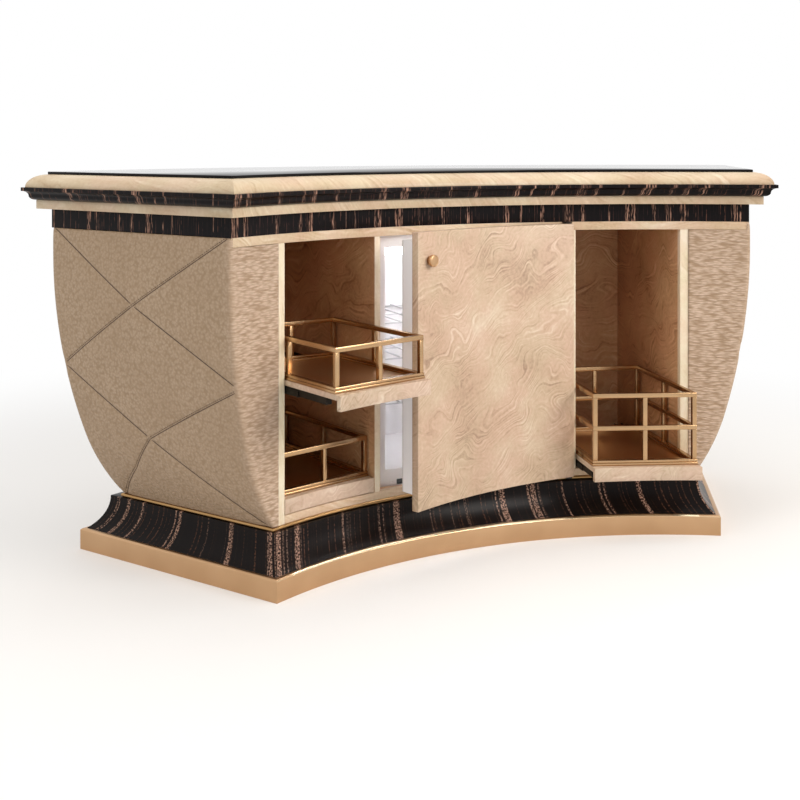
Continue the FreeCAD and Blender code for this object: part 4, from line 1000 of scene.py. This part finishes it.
# %% [markdown]
# A seam could be a dark line in the colour, but then it would lie on a bulge like paint. Here each seam and each stitch
# is a flat-bottomed dark strip of its own, sunk a little into the groove of the hide, so it catches light and shade.
# The stitches are waxed thread, while the lines of the seams stand partly for the joint and partly for the shade in a
# groove that is too narrow for the grid of the hide: painted shade.

# %% Seam lines and topstitching
DASH_MM, SPACE_MM = 5.0, 3.5
STITCH_ASIDE = 2.5
SEAM_HALF, LINE_HALF, STITCH_HALF = 1.5, 1.1, 1.3  # half the widths of a plain seam, a topstitched line and a stitch
LINE_STEP = 12.0
CROSSING_GAP = 9.0
SUNK = 0.3
EDGE_GAP = 1.5  # threads stop this far from the upper and lower edge
NEARBY = 0.2  # columns to either side that give the slope of the hide
THREAD_SECTION = ((-1.0, -0.3), (-0.6, 0.45), (0.6, 0.45), (1.0, -0.3))
THREAD_END = 0.6


def skin(path, column, height):
    """Place on a cover, at a part of a column and a height in millimetres."""
    row = path(height)
    left = min(max(int(column), 0), len(row) - 2)
    return put(*row[left].lerp(row[left + 1], column - left), height)


def sew(name, path, first, per_mm, seams, width, side):
    """All the seams of a cover: two of every four plain, and broken where the others cross; those topstitched."""
    def lay(drawing, start, end, half):
        """Thread between two places of the unrolled panel, in millimetres."""
        way = end - start
        steps = max(1, round(way.length / LINE_STEP))
        loops = []
        for k in range(steps + 1):
            x, y = start.lerp(end, k / steps)
            height = min(max(BODY_LOW + y, BODY_LOW + EDGE_GAP), BODY_TOP - EDGE_GAP)
            column = first + x * per_mm
            across = skin(path, column + NEARBY, height) - skin(path, column - NEARBY, height)
            upward = skin(path, column, height + 1) - skin(path, column, height - 1)
            normal = across.cross(upward).normalized() * -1
            sideways = normal.cross(across.normalized() * way.x + upward.normalized() * way.y).normalized()
            base = skin(path, column, height) + normal * (-SUNK * MM)
            ease = THREAD_END if k in (0, steps) else 1.0
            spots = [base + sideways * (wide * half * ease * MM) + normal * (rise * ease * MM)
                     for wide, rise in THREAD_SECTION]
            loops.append([drawing.verts.new((spot.x * side, spot.y, spot.z)) for spot in spots])
        rings(drawing, loops)

    def build(drawing):
        for number, seam in enumerate(seams):
            spots = [Vector((x * width, y * TALL)) for x, y in seam]
            for turn, (start, end) in enumerate(zip(spots, spots[1:])):
                way = (end - start).normalized()
                # Painted shade, in part: the dark line of a plain seam, and the line beside a row of stitches, stand
                # for the joint and for the shade in its narrow groove. The stitches are thread.
                if number % 4 < 2:
                    start, end = (start, end - way * CROSSING_GAP) if turn == 0 else (start + way * CROSSING_GAP, end)
                    lay(drawing, start, end, SEAM_HALF)
                    continue
                aside = Vector((-way.y, way.x)) * (STITCH_ASIDE if way.x > 0 else -STITCH_ASIDE)
                lay(drawing, start - aside, end - aside, LINE_HALF)
                for k in range(int((end - start).length / (DASH_MM + SPACE_MM))):
                    stitch = start + way * (k * (DASH_MM + SPACE_MM)) + aside
                    lay(drawing, stitch, stitch + way * DASH_MM, STITCH_HALF)

    made = piece_from(name, build, thread_and_painted_seam_shade)
    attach(made, "carcass")
    print(name, len(made.data.polygons), "faces")


for name, *layout in COVERS:
    sew(f"{name}_seams", *layout)

# %% [markdown]
# The door is one curved panel on pivots at its right edge, and it stands ajar. Closed, its outline is two plain arcs,
# so it is drawn closed and then turned about the pivot to where the CAD model has it. The knob was turned on a lathe,
# so it is a profile carried round.

# %% Door panel and knob
DOOR_FACE, DOOR_BACK = 1400, 1422
DOOR_LOW, DOOR_TOP = 168, 936
DOOR_FREE, DOOR_HUNG = radians(-12.15), radians(12.75)  # its edges, as angles about the axis
PIVOT_RADIUS, PIVOT_INSET = 1411, 14
PIVOT_ANGLE = DOOR_HUNG - PIVOT_INSET / PIVOT_RADIUS
PIVOT = Vector((PIVOT_RADIUS * sin(PIVOT_ANGLE), PIVOT_RADIUS * cos(PIVOT_ANGLE)))
AJAR = radians(14.4)


def ajar(point):
    gap = point - PIVOT
    return PIVOT + turned(gap.x, gap.y, AJAR)


closed = arc_points(DOOR_FACE, DOOR_FREE, DOOR_HUNG, 40) + arc_points(DOOR_BACK, DOOR_HUNG, DOOR_FREE, 40)
door_panel = board("door_panel", [ajar(point) for point in closed], DOOR_LOW, DOOR_TOP, 1.6,
                   [door_veneer, edge_veneer], "door")
lip_faces(door_panel, lambda normal: abs(normal.x * cos(AJAR) - normal.y * sin(AJAR)) > 0.8)

KNOB = ((8, 0), (13, 0.4), (13.2, 1.6), (9.2, 2.8), (7.6, 4.6), (8, 6.4), (12.5, 7.2), (16.2, 8.2), (17, 9.6),
        (17, 16.0), (16.4, 17.8), (15.2, 18.9), (14.0, 19.2), (13.4, 18.8), (12.8, 18.8), (12.2, 19.4), (8, 19.8),
        (3, 20.0))  # radius and distance from the door, along the profile
KNOB_INSET, KNOB_HEIGHT, KNOB_STEPS = 50, 856, 40


def draw_knob(drawing):
    angle = DOOR_FREE + KNOB_INSET / DOOR_FACE
    foot = Vector((DOOR_FACE * sin(angle), DOOR_FACE * cos(angle)))
    out = -foot.normalized()
    wide = Vector((-out.y, out.x))
    loops = []
    for radius, rise in KNOB:
        loop = []
        for k in range(KNOB_STEPS):
            turn = tau * k / KNOB_STEPS
            spot = ajar(foot + out * rise + wide * (radius * cos(turn)))
            loop.append(drawing.verts.new(put(*spot, KNOB_HEIGHT + radius * sin(turn))))
        loops.append(loop)
    rings(drawing, loops)


stand_in("door_knob", draw_knob, satin_brass, "door")
print("door stands ajar by", round(degrees(AJAR), 1), "degrees")

# %% [markdown]
# Each tray is a board with a curved apron in front, a bronze mirror on top and a gallery of square brass bars round
# it: a stepped foot, a post at each corner and in the middle of each side, and one or two rails. One box frame for all
# of it would hide that it is built of bars, so each bar is a solid of its own, and mitred at the corners.

# %% Gallery of square bars
BAR, BAR_IN = 13, 3
FOOT_WIDE, FOOT_STEP, FOOT_IN = 19, 8, 1.5
GALLERY_GAP, GALLERY_FRONT, GALLERY_BACK = 4, 1457, 1898
MIRROR_IN = 19.3
SOFT, CRISP = 1.2, 0.2  # easing along a bar, and where bars meet


def edge_lines(corners):
    """Edges of a plan, as a point on each, its direction and the way inwards."""
    middle = sum(corners, Vector((0, 0))) / len(corners)
    lines = []
    for i, corner in enumerate(corners):
        along = (corners[(i + 1) % len(corners)] - corner).normalized()
        inward = Vector((-along.y, along.x))
        inward = inward if inward.dot(middle - corner) > 0 else -inward
        lines.append((corner, along, inward))
    return lines


def crossing(first, first_inset, second, second_inset):
    """Where two edges meet once each is moved inwards."""
    a, b = first[0] + first[2] * first_inset, second[0] + second[2] * second_inset
    turn = first[1].x * second[1].y - first[1].y * second[1].x
    gap = b - a
    return a + first[1] * ((gap.x * second[1].y - gap.y * second[1].x) / turn)


def draw_gallery(drawing, side, base, tiers, out):
    """Bars on a tray whose top is at a height; gives back the plan of the mirror inside them."""
    near, far = BAY_NEAR + GALLERY_GAP, BAY_FAR - GALLERY_GAP
    front = [(x, sqrt(GALLERY_FRONT ** 2 - x ** 2)) for x in (near, far)]
    lines = edge_lines([in_bay(side, x, y, out) for x, y in front + [(far, GALLERY_BACK), (near, GALLERY_BACK)]])
    trios = [(lines[i - 1], line, lines[(i + 1) % 4]) for i, line in enumerate(lines)]

    def frame_of(outer, inner, low, high, ease):
        for before, line, after in trios:
            outline = [crossing(before, outer, line, outer), crossing(line, outer, after, outer),
                       crossing(line, inner, after, inner), crossing(before, inner, line, inner)]
            raised(drawing, outline, low, high, ease, CRISP)

    foot = base + 2 * FOOT_STEP
    frame_of(0, FOOT_WIDE, base, base + FOOT_STEP, 1.4)
    frame_of(FOOT_IN, FOOT_WIDE - FOOT_IN, base + FOOT_STEP, foot, SOFT)
    inner = BAR_IN + BAR
    for tier in tiers:
        head = base + tier - BAR
        for before, line, after in trios:
            spans = ((BAR_IN, BAR_IN), (BAR_IN, inner), (inner, inner), (inner, BAR_IN))
            raised(drawing, [crossing(before, a, line, b) for a, b in spans], foot, head, CRISP, SOFT)
            middle = (crossing(before, 0, line, 0) + crossing(line, 0, after, 0)) / 2
            start, end = middle - line[1] * BAR / 2, middle + line[1] * BAR / 2
            post = [start + line[2] * BAR_IN, end + line[2] * BAR_IN, end + line[2] * inner, start + line[2] * inner]
            raised(drawing, post, foot, head, CRISP, SOFT)
        frame_of(BAR_IN, inner, head, base + tier, SOFT)
        foot = base + tier
    return [crossing(before, MIRROR_IN, line, MIRROR_IN) for before, line, after in trios]


print("bars of", BAR, "mm, foot of", FOOT_WIDE, "mm")

# %% Trays
TRAY_GAP, TRAY_BACK = 2, 1900
APRON, APRON_TALL, TRAY_BOARD, MIRROR = 16, 40, 14, 3
TRAYS = (("upper_tray", -1, 548, (117,), 265), ("lower_tray", -1, 228, (117,), 0),
         ("right_tray", 1, 228, (117, 213), 170))  # side, height, tops of the rails above it, and how far it is out
for name, side, top, tiers, out in TRAYS:
    floor_plan = []

    def draw_bars(drawing):
        floor_plan.extend(draw_gallery(drawing, side, top, tiers, out))

    def draw_board(drawing):
        near, far, inside = BAY_NEAR + TRAY_GAP, BAY_FAR - TRAY_GAP, FACE + APRON
        rear = [in_bay(side, far, TRAY_BACK, out), in_bay(side, near, TRAY_BACK, out)]
        raised(drawing, bay_front(side, near, far, inside, out) + rear, top - TRAY_BOARD, top, 0.8)
        apron = bay_front(side, near, far, FACE, out) + bay_front(side, far, near, inside, out)
        raised(drawing, apron, top - APRON_TALL, top, SOFT)

    stand_in(f"{name}_gallery", draw_bars, gallery_brass, name)
    board(f"{name}_mirror", floor_plan, top, top + MIRROR, 0.6, bronze_mirror, name)
    stand_in(f"{name}_board", draw_board, apron_veneer, name)
print("trays:", [tray[0] for tray in TRAYS])
